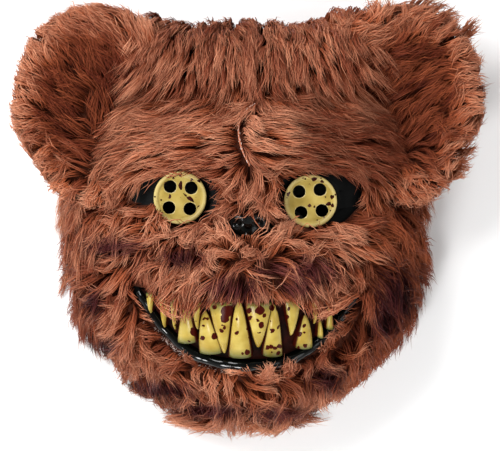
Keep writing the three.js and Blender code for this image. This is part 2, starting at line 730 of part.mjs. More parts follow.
function faceShell() {
  const wallSolid = wall(() => 0, () => -shellWall, halfTurn);
  const space = dome(() => -shellWall / 2, halfTurn);
  const bosses = [-1, 1].map((side) => rivetBar(strapReach, shellHalfWidth, bossDiameter, side).intersect(space));
  const sockets = [-1, 1].map((side) => socketBlank(side));
  const hollow = dome(() => -shellWall, halfTurn);
  const seats = sockets.map((one) => one.subtract(hollow));
  const blank = [...bosses, ...seats].reduce((sum, one) => sum.add(one), wallSolid);
  const hole = rivetDiameter + 2 * rivetRoom;
  const cuts = [-1, 1].flatMap((side) => [
    sightHole(side),
    rivetBar(strapReach - 1, strapReach + bossDepth - 0.5, hole, side),
  ]);
  return cuts.reduce((sum, cut) => sum.subtract(cut), blank);
}

const mask = new THREE.Group();

function place(name, solid, material) {
  const mesh = new THREE.Mesh(geometryOf(solid), material);
  mesh.name = name;
  mask.add(mesh);
}

place("face_shell", faceShell(), shellMaterial);
for (const [name, panel] of Object.entries(coverPanels())) place(name, panel, furMaterial);
for (const ear of ears) place(ear.name, furryEar(ear), furMaterial);
mask.add(button(-1), button(1));
place("nose", nose(), lipMaterial);
place("lower_lip", lip(), lipMaterial);
place("gum_plate", gumPlate(), lipMaterial);
for (const one of teeth) place(one.name, tooth(one), toothMaterial);
place("head_strap", strap(), strapMaterial);
place("strap_rivet_left", rivet(-1), rivetMaterial);
place("strap_rivet_right", rivet(1), rivetMaterial);

// Set the middle of the outer box over the origin.
const outerBox = new THREE.Box3().setFromObject(mask);
const middle = outerBox.getCenter(new THREE.Vector3());
mask.position.set(-middle.x, -middle.y, 0);

export default mask;
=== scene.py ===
import json
import math
import bmesh
import bpy
import numpy as np
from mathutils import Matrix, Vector
from mathutils.kdtree import KDTree

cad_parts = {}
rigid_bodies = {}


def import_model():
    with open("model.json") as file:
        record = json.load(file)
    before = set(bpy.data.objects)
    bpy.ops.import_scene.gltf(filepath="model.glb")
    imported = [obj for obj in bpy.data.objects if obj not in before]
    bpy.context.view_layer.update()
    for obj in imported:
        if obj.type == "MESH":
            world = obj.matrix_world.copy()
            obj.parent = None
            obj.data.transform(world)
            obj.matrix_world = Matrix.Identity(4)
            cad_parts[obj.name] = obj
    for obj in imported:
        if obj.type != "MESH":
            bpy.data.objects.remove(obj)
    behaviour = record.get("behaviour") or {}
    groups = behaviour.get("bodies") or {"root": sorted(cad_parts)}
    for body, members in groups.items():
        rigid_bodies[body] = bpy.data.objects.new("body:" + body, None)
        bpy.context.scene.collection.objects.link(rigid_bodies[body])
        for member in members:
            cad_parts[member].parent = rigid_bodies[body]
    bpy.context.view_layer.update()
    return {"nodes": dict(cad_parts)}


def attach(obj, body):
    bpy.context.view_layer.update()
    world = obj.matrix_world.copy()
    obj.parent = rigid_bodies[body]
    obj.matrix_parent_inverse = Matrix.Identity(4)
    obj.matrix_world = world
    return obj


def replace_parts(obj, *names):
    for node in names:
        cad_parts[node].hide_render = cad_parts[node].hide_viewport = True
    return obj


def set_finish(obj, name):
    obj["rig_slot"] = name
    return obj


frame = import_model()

# Plush bear mask, lying on its rim. The shapes are worked out in millimetres on the face, with +Z out
# of it and +Y to the crown, and put into the frame in metres by toRow().
rowShift = np.array([0.0, -0.43, 0.0])  # the frame has the middle of the outer box over its origin


def toRow(points):
    return (points + rowShift) / 1000


# The camera looks straight down on the face.
view = {"frameWidth": 285.0, "middle": (1.1, 0.3, 0.0), "height": 3.0, "lookAt": 0.05, "sensor": 36.0,
        "near": 0.1, "far": 20.0}
camera = bpy.data.objects.new("camera", bpy.data.cameras.new("camera"))
camera.data.sensor_width = view["sensor"]
camera.data.lens = view["sensor"] * (view["height"] - view["lookAt"]) / (view["frameWidth"] / 1000)
middleX, middleY, _ = toRow(np.array(view["middle"]))
camera.location = (middleX, middleY, view["height"])
camera.data.clip_start = view["near"]
camera.data.clip_end = view["far"]
bpy.context.scene.collection.objects.link(camera)
bpy.context.scene.camera = camera
bpy.context.scene.view_settings.view_transform = "Standard"

# name, place in metres, size in metres, power in watts
lamps = [
    ("softKey", (-0.95, 0.95, 1.35), 1.2, 43),
    ("softFill", (1.1, -0.3, 1.2), 1.2, 8),
    ("lowFront", (-0.45, -1.0, 1.1), 0.45, 15),
]
for name, place, size, power in lamps:
    lamp = bpy.data.objects.new(name, bpy.data.lights.new(name, "AREA"))
    lamp.data.shape = "DISK"
    lamp.data.size = size
    lamp.data.energy = power
    lamp.location = place
    way = Vector((0, 0, view["lookAt"])) - Vector(place)
    lamp.rotation_euler = way.to_track_quat("-Z", "Y").to_euler()
    bpy.context.scene.collection.objects.link(lamp)


# An sRGB hex colour as linear numbers.
def hexToLinear(text):
    value = np.array([int(text[i:i + 2], 16) / 255 for i in (1, 3, 5)])
    linear = np.where(value <= 0.04045, value / 12.92, ((value + 0.055) / 1.055) ** 2.4)
    return (*linear.tolist(), 1.0)


# Settings go to the node's own options where it has them, and else to its inputs.
def addNode(tree, kind, settings=None, links=None):
    node = tree.nodes.new("ShaderNode" + kind)
    for key, value in (settings or {}).items():
        if isinstance(key, str) and hasattr(node, key):
            setattr(node, key, value)
        else:
            node.inputs[key].default_value = value
    for key, source in (links or {}).items():
        tree.links.new(source, node.inputs[key])
    return node


def setRamp(node, stops):
    ramp = node.color_ramp
    while len(ramp.elements) < len(stops):
        ramp.elements.new(0.5)
    for element, (place, colour) in zip(ramp.elements, stops):
        element.position = place
        element.color = hexToLinear(colour)
    return node.outputs["Color"]


# A white room with a darker ceiling, so that gloss seen from straight above stays deep.
room = {"strength": 0.73, "stops": [(0.0, "#ffffff"), (0.55, "#e0e0e0"), (0.9, "#6c6c6c")]}
world = bpy.data.worlds.new("paleRoom")
world.use_nodes = True
bpy.context.scene.world = world
roomWay = addNode(world.node_tree, "TexCoord").outputs["Generated"]
roomHeight = addNode(world.node_tree, "SeparateXYZ", {}, {"Vector": roomWay}).outputs["Z"]
roomRamp = addNode(world.node_tree, "ValToRGB", {}, {"Fac": roomHeight})
background = world.node_tree.nodes["Background"]
world.node_tree.links.new(setRamp(roomRamp, room["stops"]), background.inputs["Color"])
background.inputs["Strength"].default_value = room["strength"]
print("camera and light are set")


# The quads of a grid of points, row after row. It closes on itself round each row if wrap is true.
def gridQuads(rows, columns, wrap):
    r, c = np.meshgrid(np.arange(rows - 1), np.arange(columns if wrap else columns - 1), indexing="ij")
    r, c = r.ravel(), c.ravel()
    n = (c + 1) % columns
    return np.stack([r * columns + c, (r + 1) * columns + c, (r + 1) * columns + n, r * columns + n], axis=1)


# The triangles of quads, split along their first diagonal.
def splitQuads(quads):
    return np.concatenate([quads[:, [0, 1, 2]], quads[:, [0, 2, 3]]])


# Turns the triangles round if the volume that they enclose comes out negative.
def facedOut(points, triangles):
    a, b, c = (points[triangles[:, k]] for k in range(3))
    volume = np.einsum("ij,ij->i", a, np.cross(b, c)).sum()
    return triangles[:, ::-1] if volume < 0 else triangles


# A mesh piece that rides on the one body, from points in mm.
def addPiece(name, points, triangles, material, slotName, attributes=None):
    mesh = bpy.data.meshes.new(name)
    mesh.vertices.add(len(points))
    mesh.vertices.foreach_set("co", toRow(points).astype(np.float32).ravel())
    mesh.loops.add(len(triangles) * 3)
    mesh.loops.foreach_set("vertex_index", triangles.astype(np.int32).ravel())
    mesh.polygons.add(len(triangles))
    mesh.polygons.foreach_set("loop_start", np.arange(0, len(triangles) * 3, 3, dtype=np.int32))
    mesh.polygons.foreach_set("use_smooth", np.full(len(triangles), True))
    mesh.update(calc_edges=True)
    mesh.validate()
    for key, values in (attributes or {}).items():
        layer = mesh.attributes.new(key, "FLOAT", "POINT")
        layer.data.foreach_set("value", values.astype(np.float32).ravel())
    mesh.materials.append(material)
    piece = bpy.data.objects.new(name, mesh)
    bpy.context.scene.collection.objects.link(piece)
    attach(piece, "root")
    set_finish(piece, slotName)
    return piece


# A closed skin of rings with a point at each end: the points and the triangles.
def loft(rings, start, end):
    count, around = rings.shape[:2]
    points = np.concatenate([rings.reshape(-1, 3), [start], [end]])
    here = np.arange(around)
    after = (here + 1) % around
    first = np.full(around, count * around)
    caps = [np.stack([first, here, after], axis=1),
            np.stack([first + 1, after + (count - 1) * around, here + (count - 1) * around], axis=1)]
    triangles = np.concatenate([splitQuads(gridQuads(count, around, True)), *caps])
    return points, facedOut(points - points.mean(axis=0), triangles)


# Rings round a centre line, each in the plane of up and of the side across the line.
def tubeRings(centre, up, radius, around):
    tangent = unit(np.gradient(centre, axis=0))
    side = unit(np.cross(tangent, up))
    turn = np.linspace(0, 2 * np.pi, around, endpoint=False)[:, None]
    way = side[:, None] * np.sin(turn) + up[:, None] * np.cos(turn)
    return centre[:, None] + radius[:, None, None] * way, tangent


# The edges of a grid's quads that only one quad has, as pairs of point numbers.
def bareEdges(quads, total):
    edges = np.concatenate([quads[:, [k, (k + 1) % 4]] for k in range(4)])
    return edges[~np.isin(edges[:, 0] * total + edges[:, 1], edges[:, 1] * total + edges[:, 0])]


# A grid's quads, the same on its back, and the walls between them along the bare edges. The back's
# points are numbered after the front's.
def closedWalls(quads, bare, total):
    sides = np.stack([bare[:, 1], bare[:, 0], bare[:, 0] + total, bare[:, 1] + total], axis=1)
    return np.concatenate([quads, quads[:, ::-1] + total, sides])


def unit(vectors):
    return vectors / np.maximum(np.linalg.norm(vectors, axis=-1, keepdims=True), 1e-9)


# The moulded shell's outer face
shell = {"halfWidth": 91.0, "halfHeight": 104.0, "depth": 76.0, "outline": 2.5, "dome": 2.4, "hem": 2.0}
# x, y, reach across, reach along, rise: muzzle, brow, cheeks, chin, sockets
faceForms = [
    (0, -0.4, 0.78, 0.62, 0.3),
    (0, 0.42, 0.8, 0.3, 0.09),
    (-0.68, -0.3, 0.4, 0.42, 0.06),
    (0.68, -0.3, 0.4, 0.42, 0.06),
    (0, -0.92, 0.55, 0.32, 0.1),
    (-0.43, 0.16, 0.4, 0.32, -0.1),
    (0.43, 0.16, 0.4, 0.32, -0.1),
]


# A raised cosine, 1 at its middle and 0 at the edge of its reach.
def hill(x, y, middleX, middleY, reachX, reachY):
    distance = np.minimum(np.hypot((x - middleX) / reachX, (y - middleY) / reachY), 1)
    return (1 + np.cos(np.pi * distance)) / 2


def smoothstep(value, low, high):
    share = np.clip((value - low) / (high - low), 0, 1)
    return share * share * (3 - 2 * share)


# 0 in the middle of the face and 1 on the rim: x and y as shares of the half sizes, each to the outline
# exponent, summed, and the root of that exponent taken.
def outlineShare(x, y):
    across = np.abs(x) / shell["halfWidth"]
    along = np.abs(y) / shell["halfHeight"]
    return (across ** shell["outline"] + along ** shell["outline"]) ** (1 / shell["outline"])


def formRise(x, y):
    total = np.zeros(np.broadcast(x, y).shape)
    for formX, formY, reachX, reachY, rise in faceForms:
        total = total + rise * shell["depth"] * hill(
            x, y, formX * shell["halfWidth"], formY * shell["halfHeight"],
            reachX * shell["halfWidth"], reachY * shell["halfHeight"])
    return total


def domeHeight(share):
    return shell["depth"] * (1 - np.minimum(share, 1) ** shell["dome"]) ** (1 / shell["dome"])


# The dome with the broad forms on it, which fade out towards the rim.
def shellHeight(x, y):
    dome = domeHeight(outlineShare(x, y))
    return dome + formRise(x, y) * smoothstep(dome, 0, shell["depth"] / 2)


# A point by its polar angle and its swing, 0 at the front and a quarter turn at the rim.
def shellPoint(angle, swing):
    share = np.sin(swing) ** (2 / shell["dome"])
    reach = share / outlineShare(np.cos(angle), np.sin(angle))
    x = reach * np.cos(angle)
    y = reach * np.sin(angle)
    return np.stack([x, y, shellHeight(x, y)], axis=-1)


def swingAt(x, y):
    return np.arcsin(np.minimum(outlineShare(x, y), 1) ** (shell["dome"] / 2))


# Across the slopes round and down the shell, from points a small step apart.
def shellNormal(angle, swing):
    step = 0.004
    outer = np.clip(swing, 0.05, math.pi / 2 - step) + step
    around = shellPoint(angle + step, outer) - shellPoint(angle - step, outer)
    down = shellPoint(angle, outer) - shellPoint(angle, outer - 2 * step)
    normal = unit(np.cross(down, around))
    return np.where((swing < 0.01)[..., None], [0.0, 0.0, 1.0], normal)


def lifted(x, y, height):
    x, y, height = np.broadcast_arrays(x, y, height)
    angle, swing = np.arctan2(y, x), swingAt(x, y)
    return shellPoint(angle, swing) + shellNormal(angle, swing) * height[..., None]


hemSwing = math.acos((shell["hem"] / shell["depth"]) ** (shell["dome"] / 2))


# A field that is 1 on the shell's face: the dome exponent's norm of the outline share and the height
# left when the broad forms are taken off.
def shellField(p):
    x, y, z = p[..., 0], p[..., 1], p[..., 2]
    share = outlineShare(x, y)
    form = formRise(x, y) * smoothstep(domeHeight(share), 0, shell["depth"] / 2)
    high = np.maximum(z - form, 0) / shell["depth"]
    return (share ** shell["dome"] + high ** shell["dome"]) ** (1 / shell["dome"])


# How far points stand off the surface where a field is 1, and which way is out.
def offSurface(field, p):
    step = 0.4
    slope = np.stack([field(p + step * axis) - field(p - step * axis) for axis in np.eye(3)], axis=-1)
    size = np.maximum(np.linalg.norm(slope, axis=-1), 1e-6)
    return (field(p) - 1) * 2 * step / size, slope / size[..., None]


# Where the cover is open and where its panels part, in mm
eye = {"y": 15.6, "openX": 40.0, "openHalfWidth": 26.0, "openHalfHeight": 15.5, "corner": 2.6}
button = {"radius": 15.0, "thickness": 4.6, "rimWidth": 2.0, "dish": 1.1, "rays": 48, "hole": 3.6,
          "holeSpacing": 11.9, "seat": 72.6, "turn": {-1: -3.5, 1: 5.4},
          "x": {-1: -38.4, 1: 35.3}, "y": {-1: 16.0, 1: 14.1}}
nose = {"width": 28.0, "height": 17.0, "depth": 7.0, "y": 0.5, "dent": 2.6, "gap": 1.0,
        "around": 56, "rows": 18, "skin": 0.9, "back": 0.3, "narrow": 0.22}
mouth = {"halfWidth": 67.0, "cornerY": -33.0, "lowerDrop": 47.0, "lowerCurve": 2.5, "upperDrop": 8.0,
         "upperCurve": 2.0, "steepest": 1.64}
lip = {"radius": 3.5, "reach": 0.95, "gap": 0.5, "lift": 0.4, "steps": 110, "sides": 18, "end": 0.8}
gum = {"columns": 80, "rows": 22, "high": 2.7, "low": 0.3, "width": 0.93, "ripple": 0.25}
lipRoom = lip["gap"] + 2 * lip["radius"] + 0.3  # mm that the lip takes inside the grin's lower edge
seam = {"half": 0.4, "eyeLine": 12.0}
parting = {"x": -5.1, "y": 51.0, "above": 14.0, "below": 15.7, "topShift": 9.9, "footShift": 5.7}


def mouthShare(x):
    return np.minimum(np.abs(x) / mouth["halfWidth"], 1)


def lowerEdge(x):
    return mouth["cornerY"] - mouth["lowerDrop"] * (1 - mouthShare(x) ** mouth["lowerCurve"])


def upperEdge(x):
    return mouth["cornerY"] - mouth["upperDrop"] * (1 - mouthShare(x) ** mouth["upperCurve"])


# The seam down the forehead: a C, furthest left at its middle, with a parabola up and one down. Over
# the crown it turns straight.
def partingX(y):
    straighter = 1 - 0.35 * smoothstep(y, 66, 84)
    above = np.clip((y - parting["y"]) / parting["above"], 0, 1.03) ** 2 * straighter
    below = np.clip((parting["y"] - y) / parting["below"], 0, 1) ** 2
    return parting["x"] + parting["topShift"] * above + parting["footShift"] * below


# Roughly the millimetres outside an eye gap, the nose's gap and the grin: negative inside. An eye gap
# is lower under its outer corner.
def outsideEyes(x, y):
    across = np.abs(np.abs(x) - eye["openX"]) / eye["openHalfWidth"]
    outer = np.where(x < 0, 0.75 * smoothstep(-x, 38, 56), 0.6 * smoothstep(x, 52, 66))
    low = 1 - outer * smoothstep(eye["y"] - y, -2, 2)
    along = np.abs(y - eye["y"]) / (eye["openHalfHeight"] * low)
    corner = eye["corner"]
    return ((across ** corner + along ** corner) ** (1 / corner) - 1) * eye["openHalfHeight"]


# Across and along from the middle of the nearer button.
def besideButton(x, y):
    besideX = np.where(x < 0, x - button["x"][-1], x - button["x"][1])
    besideY = np.where(x < 0, y - button["y"][-1], y - button["y"][1])
    return besideX, besideY


def outsideNose(x, y):
    across = x / (nose["width"] / 2 + nose["gap"])
    along = (y - nose["y"]) / (nose["height"] / 2 + nose["gap"])
    return (np.hypot(across, along) - 1) * (nose["height"] + nose["gap"]) / 2


def outsideGrin(x, y):
    slope = mouth["steepest"] * mouthShare(x) ** 1.5
    below = (lowerEdge(x) - y) / np.hypot(1, slope)
    return np.maximum(np.maximum(below, y - upperEdge(x)), np.abs(x) - mouth["halfWidth"])


# Roughly the millimetres inside a panel of the cover, negative outside it.
def insidePanel(name, x, y):
    gaps = np.minimum(outsideEyes(x, y), outsideNose(x, y))
    gaps = np.minimum(gaps, outsideGrin(x, y))
    besideSeam = x - partingX(y)
    underMouth = np.where(np.abs(x) < mouth["halfWidth"], lowerEdge(x), mouth["cornerY"])
    overMouth = np.where(np.abs(x) < mouth["halfWidth"], upperEdge(x), mouth["cornerY"])
    own = {
        "forehead_left": np.minimum(y - seam["eyeLine"], -besideSeam),
        "forehead_right": np.minimum(y - seam["eyeLine"], besideSeam),
        "muzzle": np.minimum(seam["eyeLine"] - y, y - overMouth),
        "jaw": underMouth - y,
    }[name]
    return np.minimum(gaps, own - seam["half"])


def newMaterial(name, shading):
    material = bpy.data.materials.new(name)
    material.use_nodes = True
    shader = material.node_tree.nodes["Principled BSDF"]
    for key, value in shading.items():
        shader.inputs[key].default_value = value
    return material, material.node_tree, shader


# A finish whose colour follows one pattern over the object, which can dent it as well.
def patternedMaterial(name, shading, kind, pattern, stops, dents=None):
    material, tree, shader = newMaterial(name, shading)
    place = addNode(tree, "TexCoord").outputs["Object"]
    level = addNode(tree, kind, pattern, {"Vector": place}).outputs["Fac"]
    ramp = addNode(tree, "ValToRGB", {}, {"Fac": level})
    tree.links.new(setRamp(ramp, stops), shader.inputs["Base Color"])
    if dents:
        bump = addNode(tree, "Bump", dents, {"Height": level})
        tree.links.new(bump.outputs["Normal"], shader.inputs["Normal"])
    return material


# Random round specks of dried paint: 1 in a speck and 0 outside it.
def specks(tree, place, scale, size, share):
    cells = addNode(tree, "TexVoronoi", {"Scale": scale, "Randomness": 1.0}, {"Vector": place})
    tint = addNode(tree, "SeparateColor", {}, {"Color": cells.outputs["Color"]})
    radius = addNode(tree, "MapRange", {"From Min": share, "From Max": 1.0, "To Max": size},
                     {"Value": tint.outputs["Red"]})
    inside = addNode(tree, "Math", {"operation": "LESS_THAN"},
                     {0: cells.outputs["Distance"], 1: radius.outputs["Result"]})
    return inside.outputs["Value"]


# Acrylic plush pile: dark at the root where the strands shade each other, paler and warmer at the tip.
# Strands differ in tone, and dried stains turn some of them purple brown.
def makePile():
    material, tree, shader = newMaterial("acrylicPlushPile", {"Roughness": 0.5, "Specular IOR Level": 0.1})
    along, tone, stain = (addNode(tree, "Attribute", {"attribute_name": name}).outputs["Fac"]
                          for name in ("along", "tone", "stain"))
    colours = []
    for level, stops in (
            (along, [(0.0, "#3b150b"), (0.4, "#682c1a"), (1.0, "#904a32")]),
            (along, [(0.0, "#712f16"), (0.45, "#b2613d"), (1.0, "#e9a986")]),
            (tone, [(0.0, "#1e0709"), (0.5, "#421518"), (1.0, "#6f3833")])):
        colours.append(setRamp(addNode(tree, "ValToRGB", {}, {"Fac": level}), stops))
    mixed = addNode(tree, "Mix", {"data_type": "RGBA"}, {0: tone, 6: colours[0], 7: colours[1]})
    stained = addNode(tree, "Mix", {"data_type": "RGBA"}, {0: stain, 6: mixed.outputs[2], 7: colours[2]})
    tree.links.new(stained.outputs[2], shader.inputs["Base Color"])
    return material


# Glossy black soft PVC of the lip and the nose, with shallow dents some 4 mm apart.
def makeGlossBlack():
    material = patternedMaterial("glossBlackPvc", {"Roughness": 0.11, "Specular IOR Level": 0.34}, "TexNoise",
                                 {"Scale": 60.0, "Detail": 3.0}, [(0.3, "#020303"), (0.7, "#060805")])
    tree = material.node_tree
    place = addNode(tree, "TexCoord").outputs["Object"]
    dents = addNode(tree, "TexNoise", {"Scale": 220.0, "Detail": 2.0}, {"Vector": place})
    bump = addNode(tree, "Bump", {"Strength": 0.35, "Distance": 0.0006}, {"Height": dents.outputs["Fac"]})
    tree.links.new(bump.outputs["Normal"], tree.nodes["Principled BSDF"].inputs["Normal"])
    return material


# x, y and radius in mm of the larger blots on the teeth, from left to right
toothBlots = [
    (-30.6, -59.8, 2.2), (-31.2, -58.6, 1.4), (-25.2, -56.4, 0.7), (-23.0, -52.2, 1.0), (-25.6, -63.2, 1.2),
    (-18.8, -62.0, 1.8), (-19.0, -45.4, 1.3), (-12.0, -48.0, 3.2), (-13.2, -51.8, 2.5), (-10.4, -46.2, 2.0),
    (-13.2, -57.0, 0.9), (-14.8, -58.8, 1.3), (-6.2, -60.0, 0.9), (0.6, -57.6, 1.4), (-0.6, -71.0, 1.6),
    (-3.4, -72.0, 0.8), (0.7, -47.2, 1.6), (1.2, -51.4, 1.3), (6.8, -47.2, 2.6), (9.4, -50.0, 1.1),
    (7.4, -55.2, 1.8), (13.4, -45.8, 1.6), (16.8, -46.4, 1.3), (10.8, -68.4, 1.2), (13.0, -68.0, 1.4),
    (15.2, -68.6, 1.2), (17.4, -67.8, 1.3), (22.8, -46.4, 1.0), (21.6, -51.2, 1.5), (28.9, -61.0, 1.5),
    (31.4, -59.8, 0.8), (31.8, -56.0, 1.2), (28.5, -68.4, 0.7),
]
blotRagged = 2.4  # mm between the furthest shifts of a blot's edge


# Yellow paint over moulded PVC with a gloss varnish: ochre patches, greenish dark roots, a dark
# red-brown wash in the gaps, and dull blots of it on the faces.
def makeTooth():
    material, tree, shader = newMaterial("varnishedYellowPvc", {"Roughness": 0.3})
    place = addNode(tree, "TexCoord").outputs["Object"]
    wobble = addNode(tree, "TexNoise", {"Scale": 260.0, "Detail": 2.0}, {"Vector": place})
    patches = addNode(tree, "TexNoise", {"Scale": 90.0, "Detail": 3.0}, {"Vector": place})
    base = addNode(tree, "ValToRGB", {}, {"Fac": patches.outputs["Fac"]})
    colour = setRamp(base, [(0.3, "#9c7f2c"), (0.55, "#b29a45"), (0.8, "#c4b060")])
    along, across = (addNode(tree, "Attribute", {"attribute_name": name}).outputs["Fac"]
                     for name in ("along", "edge"))
    root = addNode(tree, "MapRange", {"From Min": 0.0, "From Max": 0.2, "To Min": 1.0, "To Max": 0.0},
                   {"Value": along})
    edge = addNode(tree, "Math", {"operation": "MULTIPLY_ADD", 1: 0.22},
                   {0: patches.outputs["Fac"], 2: across})
    wash = addNode(tree, "MapRange", {"From Min": 0.8, "From Max": 0.94}, {"Value": edge.outputs["Value"]})
    shaken = addNode(tree, "VectorMath", {"operation": "MULTIPLY_ADD", 1: (0.004, 0.004, 0.004)},
                     {0: wobble.outputs["Color"], 2: place})
    blotted = specks(tree, shaken.outputs["Vector"], 260.0, 0.4, 0.72)
    sway = (blotRagged / 1000, blotRagged / 1000, 0)
    ragged = addNode(tree, "VectorMath", {"operation": "MULTIPLY_ADD", 1: sway},
                     {0: wobble.outputs["Color"], 2: place})
    flat = addNode(tree, "VectorMath", {"operation": "MULTIPLY", 1: (1, 1, 0)}, {0: ragged.outputs["Vector"]})
    for x, y, radius in toothBlots:
        middle = toRow(np.array([x + blotRagged / 2, y + blotRagged / 2, 0])).tolist()
        away = addNode(tree, "VectorMath", {"operation": "DISTANCE", 1: middle},
                       {0: flat.outputs["Vector"]})
        inside = addNode(tree, "Math", {"operation": "LESS_THAN", 1: radius / 1000},
                         {0: away.outputs["Value"]})
        either = addNode(tree, "Math", {"operation": "MAXIMUM"}, {0: blotted, 1: inside.outputs["Value"]})
        blotted = either.outputs["Value"]
    for mask, over in ((root.outputs["Result"], "#4d5426"), (wash.outputs["Result"], "#3a0d05"),
                       (blotted, "#3c0b04")):
        mixed = addNode(tree, "Mix", {"data_type": "RGBA", 7: hexToLinear(over)}, {0: mask, 6: colour})
        colour = mixed.outputs[2]
    tree.links.new(colour, shader.inputs["Base Color"])
    gloss = addNode(tree, "MapRange", {"To Min": 0.26, "To Max": 0.06}, {"Value": blotted})
    tree.links.new(gloss.outputs["Result"], shader.inputs["Specular IOR Level"])
    return material


# Yellow painted button of moulded ABS: a pale painted highlight on the rim and round the holes, black inside
# the holes, a few small specks.
def makeButton():
    material, tree, shader = newMaterial("paintedYellowAbs", {"Roughness": 0.4, "Specular IOR Level": 0.35})
    place = addNode(tree, "TexCoord").outputs["Object"]
    wobble = addNode(tree, "TexNoise", {"Scale": 400.0, "Detail": 2.0}, {"Vector": place})
    patches = addNode(tree, "TexNoise", {"Scale": 120.0, "Detail": 3.0}, {"Vector": place})
    base = addNode(tree, "ValToRGB", {}, {"Fac": patches.outputs["Fac"]})
    colour = setRamp(base, [(0.3, "#8e7832"), (0.55, "#a38d44"), (0.8, "#b19e58")])
    rim, hole = (addNode(tree, "Attribute", {"attribute_name": name}).outputs["Fac"]
                 for name in ("rim", "hole"))
    shaken = addNode(tree, "VectorMath", {"operation": "MULTIPLY_ADD", 1: (0.003, 0.003, 0.003)},
                     {0: wobble.outputs["Color"], 2: place})
    spots = specks(tree, shaken.outputs["Vector"], 330.0, 0.4, 0.72)
    # the rim mask paints a pale highlight over the rim's crest and round the holes' edges
    for mask, over in ((rim, "#cdbf86"), (spots, "#3a1209"), (hole, "#0b0a09")):
        mixed = addNode(tree, "Mix", {"data_type": "RGBA", 7: hexToLinear(over)}, {0: mask, 6: colour})
        colour = mixed.outputs[2]
    tree.links.new(colour, shader.inputs["Base Color"])
    return material


# Woven black elastic: ribs 1.2 mm apart along the strap, crossed by finer picks.
def makeElastic():
    material, tree, shader = newMaterial("wovenElastic", {"Roughness": 0.85, "Sheen Weight": 0.2})
    place = addNode(tree, "TexCoord").outputs["Object"]
    ribs, picks = (
        addNode(tree, "TexWave", {"bands_direction": way, "Scale": scale}, {"Vector": place}).outputs["Fac"]
        for way, scale in (("Y", 260.0), ("X", 520.0)))
    both = addNode(tree, "Math", {"operation": "MULTIPLY"}, {0: ribs, 1: picks}).outputs["Value"]
    ramp = addNode(tree, "ValToRGB", {}, {"Fac": both})
    tree.links.new(setRamp(ramp, [(0.0, "#0d0d0f"), (1.0, "#2a2a2e")]), shader.inputs["Base Color"])
    bump = addNode(tree, "Bump", {"Strength": 0.6, "Distance": 0.0004}, {"Height": both})
    tree.links.new(bump.outputs["Normal"], shader.inputs["Normal"])
    return material


pileMaterial = makePile()
# knitted backing cloth under the pile, matt dark brown with 0.9 mm knit rows
backingMaterial = patternedMaterial(
    "knittedBacking", {"Roughness": 0.95, "Specular IOR Level": 0.15}, "TexWave",
    {"Scale": 1100.0, "Distortion": 1.5}, [(0.0, "#3a1a0f"), (1.0, "#54291a")],
    {"Strength": 0.5, "Distance": 0.0003})
glossMaterial = makeGlossBlack()
# the same PVC behind the teeth, washed with dark red-brown paint
gumMaterial = patternedMaterial(
    "washedBlackPvc", {"Roughness": 0.65, "Specular IOR Level": 0.06}, "TexNoise",
    {"Scale": 110.0, "Detail": 3.0}, [(0.35, "#070302"), (0.55, "#200703"), (0.8, "#3c0d05")])
toothMaterial = makeTooth()
buttonMaterial = makeButton()
# dried dark red paint in thin drops, darker where it is thick
dropMaterial = patternedMaterial(
    "driedRedPaint", {"Roughness": 0.4, "Specular IOR Level": 0.08}, "TexNoise",
    {"Scale": 700.0, "Detail": 2.0}, [(0.35, "#170301"), (0.7, "#3c0d05")])
# off-white cotton thread, matt, with a little dirt along it
threadMaterial = patternedMaterial(
    "cottonThread", {"Roughness": 0.9, "Specular IOR Level": 0.2}, "TexNoise",
    {"Scale": 500.0}, [(0.3, "#c9a597"), (0.7, "#f8e8de")])
# nickel-plated steel, tumbled to fine even scratches
rivetMaterial = patternedMaterial(
    "nickelPlatedSteel", {"Metallic": 1.0, "Roughness": 0.3}, "TexNoise",
    {"Scale": 2500.0, "Detail": 4.0}, [(0.2, "#9d9a94"), (0.8, "#c9c6c0")])
# moulded black PVC, half matt with a fine 0.8 mm moulding grain
shellMaterial = patternedMaterial(
    "mouldedBlackPvc", {"Roughness": 0.6, "Specular IOR Level": 0.12}, "TexNoise",
    {"Scale": 1200.0, "Detail": 2.0}, [(0.3, "#020303"), (0.7, "#060808")],
    {"Strength": 0.3, "Distance": 0.0002})
for nodeName, material in (("face_shell", shellMaterial), ("head_strap", makeElastic()),
                           ("strap_rivet_left", rivetMaterial), ("strap_rivet_right", rivetMaterial)):
    slots = frame["nodes"][nodeName].data.materials
    slots.clear()
    slots.append(material)
print("materials are made")

# Backing cloth of the cover, one panel at a time; flat is each panel's cut size in mm
backing = {"low": 1.0, "high": 2.4, "around": 168, "down": 72,
           "flat": {"forehead_left": (150, 170), "forehead_right": (150, 170),
                    "muzzle": (300, 90), "jaw": (300, 160)}}


